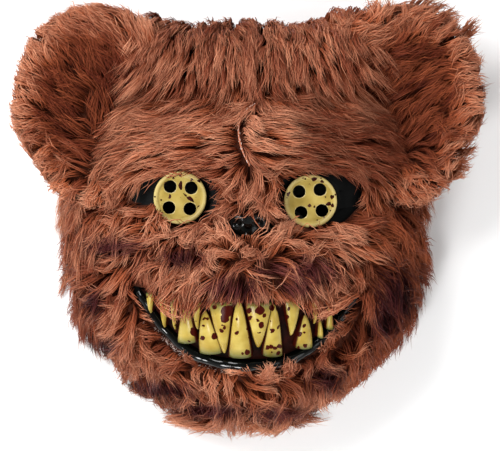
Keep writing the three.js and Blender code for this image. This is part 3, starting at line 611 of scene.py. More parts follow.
# The cells of the face's grid that lie in the panel, their edge moved onto its outline, as a wall
# between two heights over the shell.
def makeBackingPanel(name):
    angles = np.linspace(0, 2 * np.pi, backing["around"], endpoint=False)
    swings = np.linspace(0.03, hemSwing, backing["down"])
    angle, swing = np.meshgrid(angles, swings)
    angle, swing = angle.ravel(), swing.ravel()
    spot = shellPoint(angle, swing)[:, :2]
    quads = gridQuads(backing["down"], backing["around"], True)
    middle = spot[quads].mean(axis=1)
    quads = quads[insidePanel(name, middle[:, 0], middle[:, 1]) > 0]
    total = len(spot)
    bare = bareEdges(quads, total)
    onEdge = np.unique(bare)
    onEdge = onEdge[swing[onEdge] < hemSwing - 0.001]
    for _ in range(3):
        x, y = spot[onEdge].T
        inside = insidePanel(name, x, y)
        slope = np.stack([insidePanel(name, x + 0.2, y) - insidePanel(name, x - 0.2, y),
                          insidePanel(name, x, y + 0.2) - insidePanel(name, x, y - 0.2)], axis=1) / 0.4
        move = -inside[:, None] * slope / np.maximum((slope ** 2).sum(axis=1, keepdims=True), 0.3)
        spot[onEdge] += np.clip(move, -1.2, 1.2)
    outer = lifted(spot[:, 0], spot[:, 1], backing["high"])
    inner = lifted(spot[:, 0], spot[:, 1], backing["low"])
    walls = closedWalls(quads, bare, total)
    used, renumbered = np.unique(walls, return_inverse=True)
    points = np.concatenate([outer, inner])[used]
    triangles = facedOut(points, splitQuads(renumbered.reshape(walls.shape)))
    piece = addPiece(f"fur_{name}_backing", points, triangles, backingMaterial, "fur")
    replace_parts(piece, f"fur_{name}")


for panel in ("forehead_left", "forehead_right", "muzzle", "jaw"):
    makeBackingPanel(panel)

# How the pile lies: places on the face in mm, the way the tips point in degrees (0 right, 90 up) and how
# far the mark reaches
layMarks = [
    (-45, 104, -95, 18), (0, 108, -91, 20), (45, 104, -84, 18), (-72, 86, -125, 16), (72, 86, -55, 16),
    (0, 88, -90, 16), (-32, 88, -98, 16), (32, 88, -84, 16),
    (-20, 52, 186, 15), (-50, 50, 192, 15), (-76, 46, 205, 14), (20, 52, -6, 15), (50, 50, -14, 15),
    (76, 46, -28, 14),
    (-90, 22, 222, 13), (-98, 0, 232, 13), (92, 22, -42, 13), (100, 0, -68, 13), (68, 21, -98, 5),
    (66, 8, -104, 5),
    (0, 25, -90, 7), (-13, 10, -112, 7), (13, 10, -68, 7), (0, -12, 90, 4), (-13, -10, 165, 5),
    (13, -10, 15, 5),
    (-50, 0, 40, 4), (26, -1, 62, 4),
    (-35, -8, -128, 12), (-62, -8, -142, 12), (-86, -22, -128, 12), (35, -8, -50, 12), (62, -6, -36, 12),
    (88, -22, -66, 12),
    (0, -25, -92, 8), (-20, -22, -130, 9), (20, -20, -38, 9), (-36, -30, -96, 10), (38, -30, -82, 10),
    (0, -34, -92, 9), (-58, -28, -104, 10), (60, -28, -74, 10),
    (-94, -55, -116, 12), (-78, -48, -104, 10), (78, -46, -40, 9), (74, -60, -95, 9), (98, -50, -88, 12),
    (98, -78, -108, 12),
    (-60, -76, -112, 11), (-36, -94, -100, 12), (0, -98, -92, 12), (36, -94, -84, 12), (60, -78, -84, 11),
    (-78, -90, -138, 12), (0, -118, -90, 14), (-46, -112, -110, 14), (46, -112, -76, 14),
    (80, -96, -100, 12),
    (8, -87, 62, 8), (22, -84, 34, 7), (-34, -82, -150, 7), (-52, -64, -160, 7),
]


# The marks' directions, weighed by a Gaussian of the distance to each mark. Across the brow the pile
# leaves the parting to both sides, over the crown it closes over the seam, and round the lower lip it
# turns towards the grin.
def layOnFace(x, y):
    total = np.zeros((len(x), 2))
    for markX, markY, degrees, reach in layMarks:
        weight = np.exp(-((x - markX) ** 2 + (y - markY) ** 2) / (2 * reach ** 2)) + 1e-9
        turn = math.radians(degrees)
        total += weight[:, None] * [math.cos(turn), math.sin(turn)]
    way = unit(total)
    brow = smoothstep(y, 26, 36) * (1 - smoothstep(y, 56, 78))
    side = np.where(x > partingX(y), 1.0, -1.0)
    way[:, 0] = (1 - brow) * way[:, 0] + brow * side * np.maximum(np.abs(way[:, 0]), 0.7)
    nearLip = (1 - smoothstep(outsideGrin(x, y), 2, 8)) * (y < upperEdge(x) - 3)
    grinSlope = np.stack([outsideGrin(x + 0.5, y) - outsideGrin(x - 0.5, y),
                          outsideGrin(x, y + 0.5) - outsideGrin(x, y - 0.5)], axis=1)
    way -= (nearLip * np.where(x < 8, 1.3, 1.6))[:, None] * grinSlope
    way[:, 0] -= 0.35 * side * smoothstep(y, 70, 80) * (1 - smoothstep(np.abs(x - partingX(y)), 2, 14))
    return unit(way)


# The lay in space: on the steep sides it runs down to the rim where the marks point outward, and up
# over the edge where they point inward.
def layOnCover(p, normal):
    flat = layOnFace(p[:, 0], p[:, 1])
    down = -1.1 * (flat * normal[:, :2]).sum(axis=1)
    return np.concatenate([flat, down[:, None]], axis=1)


# Strands of pile in locks. Guide strands grow from the surface, stand up and lie over; the strands of
# a lock follow their guide and close up towards its tip.
pile = {
    "steps": 12,            # points of a guide
    "width": (0.55, 0.95),  # mm
    "stand": 1.5,           # how steeply a guide leaves the surface
    "float": 0.1,           # how steeply it still climbs at its tip
    "closing": 0.72,        # how far a lock closes at its tip
    "fray": 1.5,            # mm that a strand strays from its lock at the tip
    "frizz": 0.7,           # mm that it waves beside its lock
    "tuft": 17.0,           # mm between the middles of tufts of several locks
    "guideArea": 42,        # mm2 that one guide stands on
    "rootShare": 0.7,       # how deep in the backing a root starts, as a share of its height
    "guideGap": 1.8,        # mm that a guide keeps off the surface
    "strandGap": 1.4,       # mm that a strand keeps off it at its root
    "tipGap": 0.8,          # mm more at its tip
    "loose": 30.0,          # mm that a guide can stand off where nothing holds it down
    "lowest": (0.8, 0.6),   # mm over the floor, of guides and of strands
    "highest": 113.0,       # mm over the floor
}


def nearest(points, centres):
    tree = KDTree(len(centres))
    for i, centre in enumerate(centres.tolist()):
        tree.insert(centre, i)
    tree.balance()
    return np.array([tree.find(p)[1] for p in points.tolist()])


# Random places on a surface of two parameters, as many on each square millimetre.
def scatter(rng, count, surface, ranges, cells, inside):
    (lowA, highA), (lowB, highB) = ranges
    edgesA = np.linspace(lowA, highA, cells[0] + 1)
    edgesB = np.linspace(lowB, highB, cells[1] + 1)
    corner = surface(*np.meshgrid(edgesA, edgesB, indexing="ij"))
    along = corner[1:, :-1] - corner[:-1, :-1]
    across = corner[:-1, 1:] - corner[:-1, :-1]
    area = np.linalg.norm(np.cross(along, across), axis=-1)
    middle = (corner[1:, :-1] + corner[:-1, 1:]) / 2
    weight = (area * inside(middle)).ravel()
    cell = rng.choice(weight.size, size=count, p=weight / weight.sum())
    a = edgesA[cell // cells[1]] + rng.random(count) * (edgesA[1] - edgesA[0])
    b = edgesB[cell % cells[1]] + rng.random(count) * (edgesB[1] - edgesB[0])
    return surface(a, b)


# Guides, as points count x steps x 3. Each step leaves along the lay turned by the guide's own bend
# and wave, and climbs less and less. Its habit holds the length, wave, unrest, lift, heap and hug.
def growGuides(rng, roots, field, lay, clearance, habit):
    count, steps = len(roots), pile["steps"]
    unrest = habit["unrest"]
    tufts = roots[rng.permutation(count)[:max(4, int(count * pile["guideArea"] / pile["tuft"] ** 2))]]
    tuft = nearest(roots, tufts)
    tuftTurn = rng.normal(0, 0.3, len(tufts))[tuft]
    tuftLift = 1 + rng.uniform(-0.4, 0.5, len(tufts))[tuft] * np.minimum(unrest, 1)
    tuftTone = rng.normal(0, 1, len(tufts))[tuft]
    hug = np.where((rng.random(len(tufts)) < habit["wild"])[tuft], pile["loose"], habit["hug"])
    turn = (tuftTurn + rng.normal(0, 0.2, count)) * unrest
    phase = rng.uniform(0, 2 * np.pi, len(tufts))[tuft] + rng.normal(0, 0.7, count)
    waves = rng.uniform(0.7, 1.5, count)
    curl = rng.normal(0, 0.5, count) * unrest
    climb = habit["lift"] * tuftLift * rng.uniform(0.75, 1.25, count)
    heap = habit["heap"] * rng.uniform(0.72, 1.0, count)
    p = roots.copy()
    path = [p]
    for k in range(steps - 1):
        share = (k + 0.5) / (steps - 1)
        _, normal = offSurface(field, p)
        way = lay(p, normal)
        way = unit(way - (way * normal).sum(axis=1, keepdims=True) * normal)
        side = np.cross(normal, way)
        wave = habit["wave"] * np.sin(2 * np.pi * waves * share + phase) * share ** 0.5
        bend = turn + curl * share + wave
        way = way * np.cos(bend)[:, None] + side * np.sin(bend)[:, None]
        rise = (pile["stand"] * (1 - share) ** 3 + pile["float"]) * climb
        p = p + unit(way + normal * rise[:, None]) * (habit["length"] / (steps - 1))[:, None]
        gap, normal = offSurface(field, p)
        raised = np.sin(np.pi * min((k + 1) / (steps - 1) * 1.25, 1)) ** 0.7
        stand = pile["guideGap"] + heap * raised + clearance(p)
        p = p + normal * (np.maximum(stand - gap, 0) - np.maximum(gap - hug, 0))[:, None]
        p[:, 2] = np.clip(p[:, 2], pile["lowest"][0], pile["highest"])
        path.append(p)
    return np.stack(path, axis=1), np.clip(0.5 + 0.17 * tuftTone + rng.normal(0, 0.1, count), 0, 1)


# Closed tapering strands along a centre line each: three-sided rings, a base and a tip.
def strandMesh(line, up, width):
    count, places = line.shape[:2]
    rings = places - 1
    tangent = unit(np.gradient(line, axis=1))
    side = unit(np.cross(tangent, up[:, None, :]))
    over = np.cross(side, tangent)
    share = np.arange(rings) / rings
    half = width[:, None] / 2 * (0.75 + 0.5 * share - 0.85 * share ** 3)
    turns = np.array([0.0, 2.3, -2.3])
    ring = line[:, :rings, None, :] \
        + side[:, :rings, None, :] * (half[:, :, None] * np.sin(turns))[..., None] \
        + over[:, :rings, None, :] * (half[:, :, None] * 0.45 * np.cos(turns))[..., None]
    points = np.concatenate([ring.reshape(count, -1, 3), line[:, -1:, :]], axis=1)
    quads = gridQuads(rings, 3, True)
    last = (rings - 1) * 3
    tip = np.array([[last + k, 3 * rings, last + (k + 1) % 3] for k in range(3)])
    one = np.concatenate([splitQuads(quads), tip, [[0, 1, 2]]])
    centre = points[0].mean(axis=0)
    one = facedOut(points[0] - centre, one)
    triangles = (one[None] + (np.arange(count) * points.shape[1])[:, None, None]).reshape(-1, 3)
    along = np.concatenate([np.repeat(share, 3), [1.0]])
    return points, triangles, np.tile(along, (count, 1))


# Dried stains on the face: x, y, reach across, reach along
stains = [
    (-76, -12, 20, 6), (-89, -44, 8, 9), (-83, -70, 9, 5), (-36, -18, 14, 6), (-9, -35, 18, 9),
    (14, -24, 12, 6), (38, -26, 16, 10), (30, -34, 13, 7), (84, -42, 13, 19), (78, -56, 9, 10),
    (-50, -94, 22, 6), (-20, -106, 22, 5), (18, -108, 20, 5), (45, -88, 10, 9),
]


def stainAt(p, ragged):
    deepest = np.zeros(p.shape[:-1])
    for x, y, reachX, reachY in stains:
        distance = np.hypot((p[..., 0] - x) / reachX, (p[..., 1] - y) / reachY)
        deepest = np.maximum(deepest, 1 - smoothstep(distance + ragged, 0.45, 1.35))
    return deepest


# Grows the strands of one piece of pile. The facts say how many stand in a lock, how many rings each
# has, the habit at a place, where a strand has to end and what it has to clear.
def growPile(name, rng, count, surface, ranges, cells, inside, field, lay, facts):
    guideRoots = scatter(rng, int(count / facts["perLock"]), surface, ranges, cells, inside)
    habit = facts["at"](guideRoots)
    habit["length"] = habit["length"] * rng.uniform(0.85, 1.12, len(guideRoots))
    _, normal = offSurface(field, guideRoots)
    guideRoots = guideRoots + normal * backing["high"] * pile["rootShare"]
    guides, guideTone = growGuides(rng, guideRoots, field, lay, facts["clearance"], habit)
    roots = scatter(rng, count, surface, ranges, cells, inside)
    _, normal = offSurface(field, roots)
    roots = roots + normal * backing["high"] * pile["rootShare"]
    mine = nearest(roots, guideRoots)
    calm = 0.35 + 0.65 * np.minimum(habit["unrest"], 1)
    closing = pile["closing"] * rng.uniform(0.6, 1.15, count) * calm[mine]
    scale = rng.uniform(0.72, 1.06, count)
    stray = rng.normal(0, 1, (count, 3)) * pile["fray"]
    frizz = rng.normal(0, 1, (count, 3)) * pile["frizz"]
    phase = rng.uniform(0, 2 * np.pi, count)
    steps, rings = pile["steps"], facts["rings"]

    def strandAt(share):
        place = np.clip(share * scale, 0, 1) * (steps - 1)
        low = np.minimum(place.astype(int), steps - 2)
        part = (place - low)[:, None]
        spine = guides[mine, low] * (1 - part) + guides[mine, low + 1] * part
        together = (1 - closing * share ** 1.2)[:, None]
        waved = frizz * np.sin(phase + 7 * share)[:, None] * share[:, None]
        loose = stray * (share ** 1.5)[:, None] + waved
        p = spine + (roots - guideRoots[mine]) * together + loose
        gap, out = offSurface(field, p)
        clear = pile["strandGap"] + pile["tipGap"] * share
        p = p + out * np.maximum(clear + facts["clearance"](p) - gap, 0)[:, None]
        p[:, 2] = np.clip(p[:, 2], pile["lowest"][1], pile["highest"] + 0.4)
        return p

    end = np.ones(count)
    patience = rng.random(count)
    for share in np.linspace(1, 0.12, 14):
        stopped = facts["blocked"](strandAt(np.full(count, share)), patience)
        end = np.where(stopped, np.minimum(end, share - 0.05), end)
    line = np.stack([strandAt(end * k / rings) for k in range(rings + 1)], axis=1)
    keep = end > 0.14
    line, mine, end = line[keep], mine[keep], end[keep]
    low, high = pile["width"]
    width = rng.uniform(low, high, len(line))
    _, up = offSurface(field, line[:, 2])
    points, triangles, along = strandMesh(line, up, width)
    own = facts["at"](line[:, 0])
    tone = guideTone[mine] + rng.normal(0, 0.16, len(line)) + own["tone"]
    tone = np.clip(tone + (rng.random(len(line)) < 0.05) * 0.3, 0, 1)
    along = own["root"][:, None] + (own["tip"] - own["root"])[:, None] * along * np.sqrt(end)[:, None]
    ragged = rng.normal(0, 0.25, len(line))[:, None]
    flatStain = stainAt(points, ragged) * facts["stained"]
    flatTone = np.repeat(tone[:, None], points.shape[1], axis=1)
    addPiece(name, points.reshape(-1, 3), triangles, pileMaterial, "fur",
             {"along": along, "tone": flatTone, "stain": flatStain})
    print(f"{name}: {len(line)} strands in {len(guides)} locks, {len(triangles)} triangles")


# Paler and darker places of the pile: amount, x, y, reach across, reach along. The darker spot on the right
# cheek is painted shade, away from the key lamp, and the paler one under the left eye is painted light
# against its shade.
toneAndShadeSpots = [
    (-0.04, -45, 50, 60, 40), (-0.14, -60, -30, 16, 10), (-0.2, 82, -30, 22, 30), (0.24, 4, -24, 50, 34),
    (0.16, -6, -104, 60, 34), (0.3, -58, 0, 34, 20),
]


# The pile's habit over the face: length in mm, wave, unrest, lift, heap, tone, and how pale its roots and
# tips are. Part of the tone and of the roots' and tips' paleness is painted light and shade.
def coverPile(p):
    x, y = p[:, 0], p[:, 1]
    crown = smoothstep(y, 66, 80)
    brow = smoothstep(y, 28, 38) * (1 - smoothstep(y, 62, 74))
    nearEye = 1 - smoothstep(outsideEyes(x, y), 1, 10)
    nearNose = 1 - smoothstep(outsideNose(x, y), 0, 8)
    edge = smoothstep(outlineShare(x, y), 0.8, 0.98)
    underNose = nearNose * (y < nose["y"])
    underLip = hill(x, y, x, lowerEdge(x), 60, 7) * (y < lowerEdge(x)) * (np.abs(x) < mouth["halfWidth"])
    byParting = (1 - smoothstep(np.abs(x - partingX(y)), 1, 9)) * smoothstep(y, 14, 24) * (1 - crown)
    sideways = x - partingX(y)
    low = smoothstep(-y, 52, 64)
    fringe = smoothstep(y, -52, -46) * (1 - smoothstep(y, -28, -16)) * (1 - smoothstep(np.abs(x), 60, 70))
    underEye = nearEye * (y < eye["y"] - 2)
    foot = edge * smoothstep(-y, 40, 70) * smoothstep(np.abs(x), 18, 46)
    bare = hill(x, y, 0, -17, 30, 8)
    length = 29 + 4 * crown + 2 * brow - 8 * nearEye - 12 * underNose - 12 * underLip - 9 * byParting
    length = length + 14 * hill(x, y, 14, -84, 18, 10) - foot * np.where(x > 0, 14, 8) + 6 * fringe
    length = length + 9 * edge * smoothstep(-x, 60, 80) * (1 - smoothstep(np.abs(y + 6), 30, 50))
    length = length + 5 * edge * smoothstep(-y, 84, 100) * (1 - smoothstep(np.abs(x), 18, 46))
    wave = 0.6 - 0.35 * crown - 0.25 * brow + 0.7 * underNose + 0.3 * underLip + 0.2 * low
    unrest = 1.3 - 1.12 * crown - 0.9 * brow + 0.35 * low + 1.5 * bare + 0.4 * byParting
    wave, unrest = wave * (1 - 0.6 * fringe), unrest * (1 - 0.65 * fringe)
    lift = 0.95 - 0.65 * crown - 0.3 * nearNose + 0.1 * edge * np.where(x < 0, 1.6, 0.4) - 0.3 * foot
    lift = lift + 0.8 * underNose + 0.5 * underLip + 0.6 * byParting - 0.3 * nearEye + 0.9 * underEye + bare
    heap = 15 * smoothstep(y, 76, 94)
    heap = heap + np.where(x < 0, 15 * hill(x, y, -46, 98, 22, 28), 27 * hill(x, y, 50, 98, 28, 30))
    tone = sum(amount * hill(x, y, *spot) for amount, *spot in toneAndShadeSpots)
    # Painted shade: the right brow, the right side and the right temple are darker, away from the key lamp.
    tone = tone - 0.12 * crown - 0.3 * brow * (x > 14) - 0.12 * smoothstep(x, 20, 95)
    tone = tone - 0.12 * smoothstep(x, 42, 80) * smoothstep(y, 20, 40)
    tone = tone - 0.5 * smoothstep(-x, 62, 80) * (y < -4)
    # Paler right of the parting; the darker band just left of it is painted shade.
    tone = tone + 0.4 * hill(sideways, y, 8, 50, 16, 24) - 0.12 * hill(sideways, y, -10, 46, 16, 26)
    # Paler roots here are painted light against the shade of the hollows by the parting, under the lip, nose
    # and eyes and on the bare patch.
    root = byParting * np.where(sideways > 0, 0.6, 0.3)
    root = root + 0.3 * (underLip + underNose + underEye) + 0.35 * bare
    # Darker tips on the right cheek are painted shade.
    tip = 1 - 0.5 * smoothstep(x, 40, 76) * (1 - smoothstep(y, 6, 34))
    return {"length": length, "wave": wave, "unrest": unrest, "lift": lift, "heap": heap,
            "hug": pile["loose"], "wild": 0.0, "tone": tone, "root": root, "tip": tip}


# The buttons and most of the eye gaps, the nose and the grin stay open; some strands hang over their
# edges, and more over the upper teeth at both sides. One lock crosses the lip.
def coverBlocked(p, patience):
    x, y = p[:, 0], p[:, 1]
    eyes = outsideEyes(x, y) < -1.0 - 4 * patience ** 4
    besideX, besideY = besideButton(x, y)
    overlap = 5 * patience * hill(besideX, besideY, -10, -11, 8, 8)
    overlap = overlap + 2.2 * patience * hill(besideX, besideY, 0, 15, 12, 6)
    onButton = np.hypot(besideX, besideY) < 15.5 - 3.5 * patience ** 5 - overlap
    nosed = (outsideNose(x, y) < -0.5 - 6 * patience ** 2) & (y > nose["y"] - 5)
    sides = 17 * hill(x, y, -40, -46, 24, 44) + 19 * hill(x, y, 46, -46, 24, 44)
    corner = 5 * smoothstep(-x, 52, 60) * (x > -67)
    hang = 2.2 + 3 * patience ** 2 + sides * patience ** 1.5 - corner
    lock = hill(x, y, 12, -79, 20, 16) > 0.25
    overLip = (y < upperEdge(x) - 12) & (x > 8)
    atCorner = (corner > 1) & (np.abs(y - upperEdge(x) - 1) < 4)
    inGrin = (outsideGrin(x, y) < np.where(overLip, -1.8, -0.4)) | atCorner
    grinning = inGrin & (y < upperEdge(x) - hang) & ~lock
    shown = (y > -71) & lock & (outsideGrin(x, y) < 0) & (y < upperEdge(x) - hang)
    return eyes | onButton | nosed | grinning | shown


# How much higher the pile has to pass over the nose, the teeth, the lip and the buttons, in mm.
def coverClearance(p):
    x, y = p[:, 0], p[:, 1]
    share = np.hypot(x / (nose["width"] / 2), (y - nose["y"]) / (nose["height"] / 2))
    overNose = (nose["depth"] + nose["skin"]) * np.sqrt(np.clip(1.15 - share ** 2, 0, 1))
    overTeeth = 7.6 * smoothstep(-outsideGrin(x, y), -4, 1)
    overButton = 12.6 * (1 - smoothstep(np.hypot(*besideButton(x, y)), 14.5, 18))
    return np.maximum(np.maximum(overNose, overTeeth), overButton)


# Strands stand closer beside the parting, round the eye gaps, the nose and the grin, and on the crown.
def coverDensity(panel, p):
    x, y = p[..., 0], p[..., 1]
    byParting = (1 - smoothstep(np.abs(x - partingX(y)), 2, 8)) * smoothstep(y, 14, 24)
    byEye = 1 - smoothstep(outsideEyes(x, y), 2, 8)
    byNose = 1 - smoothstep(outsideNose(x, y), 2, 7)
    byGrin = 1 - smoothstep(outsideGrin(x, y), 1, 6)
    close = np.maximum(np.maximum(byParting, byEye), np.maximum(byNose, byGrin))
    close = np.maximum(close, 1.2 * hill(x, y, 0, -17, 30, 8))
    crowd = 1 + 1.1 * close + 0.4 * smoothstep(y, 72, 84) + 0.4 * smoothstep(y, 84, 94)
    return (insidePanel(panel, x, y) > 0.15) * crowd


coverFacts = {"perLock": 15, "at": coverPile, "blocked": coverBlocked, "clearance": coverClearance,
              "stained": 1.0}
coverRanges = ((0, 2 * np.pi), (0.03, hemSwing))  # of angle and swing
coverCells = (360, 160)
# strands of each panel, and rings of a strand
coverCounts = {"forehead_left": (10900, 3), "forehead_right": (10900, 3),
               "muzzle": (8300, 4), "jaw": (7900, 4)}
for number, (panel, (count, rings)) in enumerate(coverCounts.items()):
    growPile(f"fur_{panel}_pile", np.random.default_rng(40 + number), count, shellPoint, coverRanges,
             coverCells, lambda p, panel=panel: coverDensity(panel, p), shellField, layOnCover,
             coverFacts | {"rings": rings})

# Ears: stuffed cupped flaps with pile on both faces
ear = {"x": 0.945 * shell["halfWidth"], "y": 68.8, "halfWidth": 41.0, "halfHeight": 51.5,
       "corner": {-1: 2.25, 1: 2.5}, "half": 7.0, "cup": 17.0, "z": 48.0, "lean": math.radians(6),
       "foot": 0.26, "around": 72, "down": 30, "puff": 0.8, "comb": {-1: 0.75, 1: 1.0}, "cutGap": 3.5,
       "strands": 6600, "pileDown": (0.02, 0.93 * np.pi),
       "cells": (160, 80)}


# How much narrower the ear is towards its foot.
def earTaper(along):
    return 1 - ear["foot"] * smoothstep(-along, 0.12, 0.8)


# A point by the share of the outline, the angle and the depth over the cupped middle face. The outline
# is a superellipse of the corner exponent, narrower at its foot.
def earPoint(side, share, angle, depth):
    corner = ear["corner"][side]
    square = np.abs(np.cos(angle)) ** corner + np.abs(np.sin(angle)) ** corner
    reach = share * square ** (-1 / corner)
    across = reach * ear["halfWidth"] * np.cos(angle) * earTaper(reach * np.sin(angle))
    along = reach * ear["halfHeight"] * np.sin(angle)
    x = across * math.cos(ear["lean"]) - along * math.sin(ear["lean"])
    y = across * math.sin(ear["lean"]) + along * math.cos(ear["lean"])
    z = ear["z"] - ear["cup"] * (1 - share ** 2) + depth + 0 * x
    return np.stack([side * (ear["x"] + x), ear["y"] + y, z], axis=-1)


# The same backwards: across and along in shares, and the depth.
def earPlace(side, p):
    x = side * p[..., 0] - ear["x"]
    y = p[..., 1] - ear["y"]
    along = (-x * math.sin(ear["lean"]) + y * math.cos(ear["lean"])) / ear["halfHeight"]
    across = (x * math.cos(ear["lean"]) + y * math.sin(ear["lean"])) / ear["halfWidth"] / earTaper(along)
    corner = ear["corner"][side]
    share = (np.abs(across) ** corner + np.abs(along) ** corner) ** (1 / corner)
    depth = p[..., 2] - ear["z"] + ear["cup"] * (1 - np.minimum(share, 1.1) ** 2)
    return across, along, share, depth


def earField(side):
    def field(p):
        _, _, share, depth = earPlace(side, p)
        return np.sqrt(share ** 4 + (depth / ear["half"]) ** 2)
    return field


# The flap's skin: the outline share is the root of the sine of b, the depth follows its cosine.
def earSkin(side):
    return lambda a, b: earPoint(side, np.sqrt(np.sin(b)), a, ear["half"] * np.cos(b))


# The pile spreads from the ear's foot and is combed outward; over the rim it turns to the back.
def layOnEar(side):
    def lay(p, normal):
        across, along, _, _ = earPlace(side, p)
        flat = unit(np.stack([across, 1.2 * (along + 0.58)], axis=1)) + [ear["comb"][side], 0.0]
        flat = unit(flat) * [side, 1.0]
        over = -0.9 * (flat * normal[:, :2]).sum(axis=1) * smoothstep(normal[:, 2], -0.6, 0.0)
        return np.concatenate([flat, over[:, None]], axis=1)
    return lay


# The right ear's pile is more unruly than the left one's.
def earPile(side):
    unruly = 0.0 if side < 0 else 1.0

    def at(p):
        across, along, share, depth = earPlace(side, p)
        front = smoothstep(depth, -2, 2)
        cup = front * (1 - smoothstep(share, 0.5, 0.78))
        low = 1 - smoothstep(along, -0.7, 0.0)
        outer = smoothstep(across, 0.3, 0.9) * (1 - unruly * low)
        length = 21 + (5 - 9 * unruly) * low + 3 * unruly - 4 * smoothstep(share, 0.8, 1.0)
        wave = 0.22 + 0.3 * low + 0.22 * unruly
        unrest = 0.5 + 0.7 * low + 0.4 * unruly
        lift = 0.3 + 0.35 * low + 0.25 * outer + 0.15 * unruly
        # Painted shade darkens the cup in tone, roots and tips; painted light makes the rim paler, most on
        # the left ear, towards the key lamp.
        tone = (0.2 - 0.16 * unruly) * smoothstep(share, 0.75, 0.95) - (0.35 - 0.1 * unruly) * cup
        tone = tone + 0.05 * unruly
        return {"length": length, "wave": wave, "unrest": unrest, "lift": lift, "heap": np.zeros(len(p)),
                "hug": 3.8 + 2 * outer, "wild": 0.05 + 0.2 * unruly, "tone": tone,
                "root": 0.12 * (1 - cup), "tip": 1 - 0.5 * cup}
    return at


def makeEar(name, side, seed):
    rng = np.random.default_rng(seed)
    skin = earSkin(side)
    b = np.linspace(0, np.pi, ear["down"] + 2)[1:-1][:, None]
    turns = np.linspace(0, 2 * np.pi, ear["around"], endpoint=False)[None, :]
    rings = earPoint(side, 1.035 * np.sqrt(np.sin(b)), turns, ear["half"] * np.cos(b))
    puff = ear["puff"] * np.sin(5 * turns) * np.sin(b)
    rings[..., 2] += puff * np.cos(b)
    points, triangles = loft(rings, earPoint(side, 0, 0, ear["half"]), earPoint(side, 0, 0, -ear["half"]))
    flap = addPiece(f"{name}_flap", points, triangles, backingMaterial, "fur")
    # The flap ends where it is sewn to the head.
    headTurns = np.linspace(0, 2 * np.pi, 96, endpoint=False)[None, :]
    head = shellPoint(headTurns, np.linspace(0.04, hemSwing, 50)[:, None])
    _, out = offSurface(shellField, head)
    top = np.array([0, 0, shellHeight(0.0, 0.0) + ear["cutGap"]])
    headPoints, headTriangles = loft(head + ear["cutGap"] * out, top, np.array([0, 0, 2.0]))
    cutter = addPiece(f"{name}_cutter", headPoints, headTriangles, backingMaterial, "fur")
    cut = flap.modifiers.new("sewnEdge", "BOOLEAN")
    cut.operation = "DIFFERENCE"
    cut.solver = "EXACT"
    cut.object = cutter
    shaped = bpy.data.meshes.new_from_object(flap.evaluated_get(bpy.context.evaluated_depsgraph_get()))
    flap.modifiers.clear()
    flap.data = shaped
    bpy.data.objects.remove(cutter)
    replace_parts(flap, name)

    def inside(p):
        gap, _ = offSurface(shellField, p)
        _, _, share, depth = earPlace(side, p)
        return (gap > 4.5) * np.where(depth < -3, 0.6, 1.0) * (1 + 0.9 * smoothstep(share, 0.86, 1.0))

    facts = {"perLock": 14, "rings": 3, "at": earPile(side), "blocked": coverBlocked, "stained": 0.0,
             "clearance": lambda p: 0.0}
    growPile(f"{name}_pile", rng, ear["strands"], skin, ((0, 2 * np.pi), ear["pileDown"]), ear["cells"],
             inside, earField(side), layOnEar(side), facts)


makeEar("ear_left", -1, 61)
makeEar("ear_right", 1, 62)

# How a button's upper face runs over its rim to its back: distance from its middle and height
dishEdge = button["radius"] - button["rimWidth"]
buttonFloor = button["thickness"] - button["dish"]
buttonProfile = np.array([
    [dishEdge - button["dish"], buttonFloor], [dishEdge - 0.45 * button["dish"], buttonFloor + 0.45],
    [dishEdge, button["thickness"] - 0.1], [dishEdge + 0.5, button["thickness"]],
    [button["radius"] - 0.8, button["thickness"]], [button["radius"] - 0.2, button["thickness"] - 0.25],
    [button["radius"], button["thickness"] - 0.8], [button["radius"], 0.8], [button["radius"] - 0.8, 0.0],
    [dishEdge - button["dish"], 0.0],
])
# How pale the painted highlight is at each point of the rim's profile
rimPaintedHighlight = np.array([0.0, 0.05, 0.16, 0.3, 0.4, 0.35, 0.15, 0.05, 0.0, 0.0])


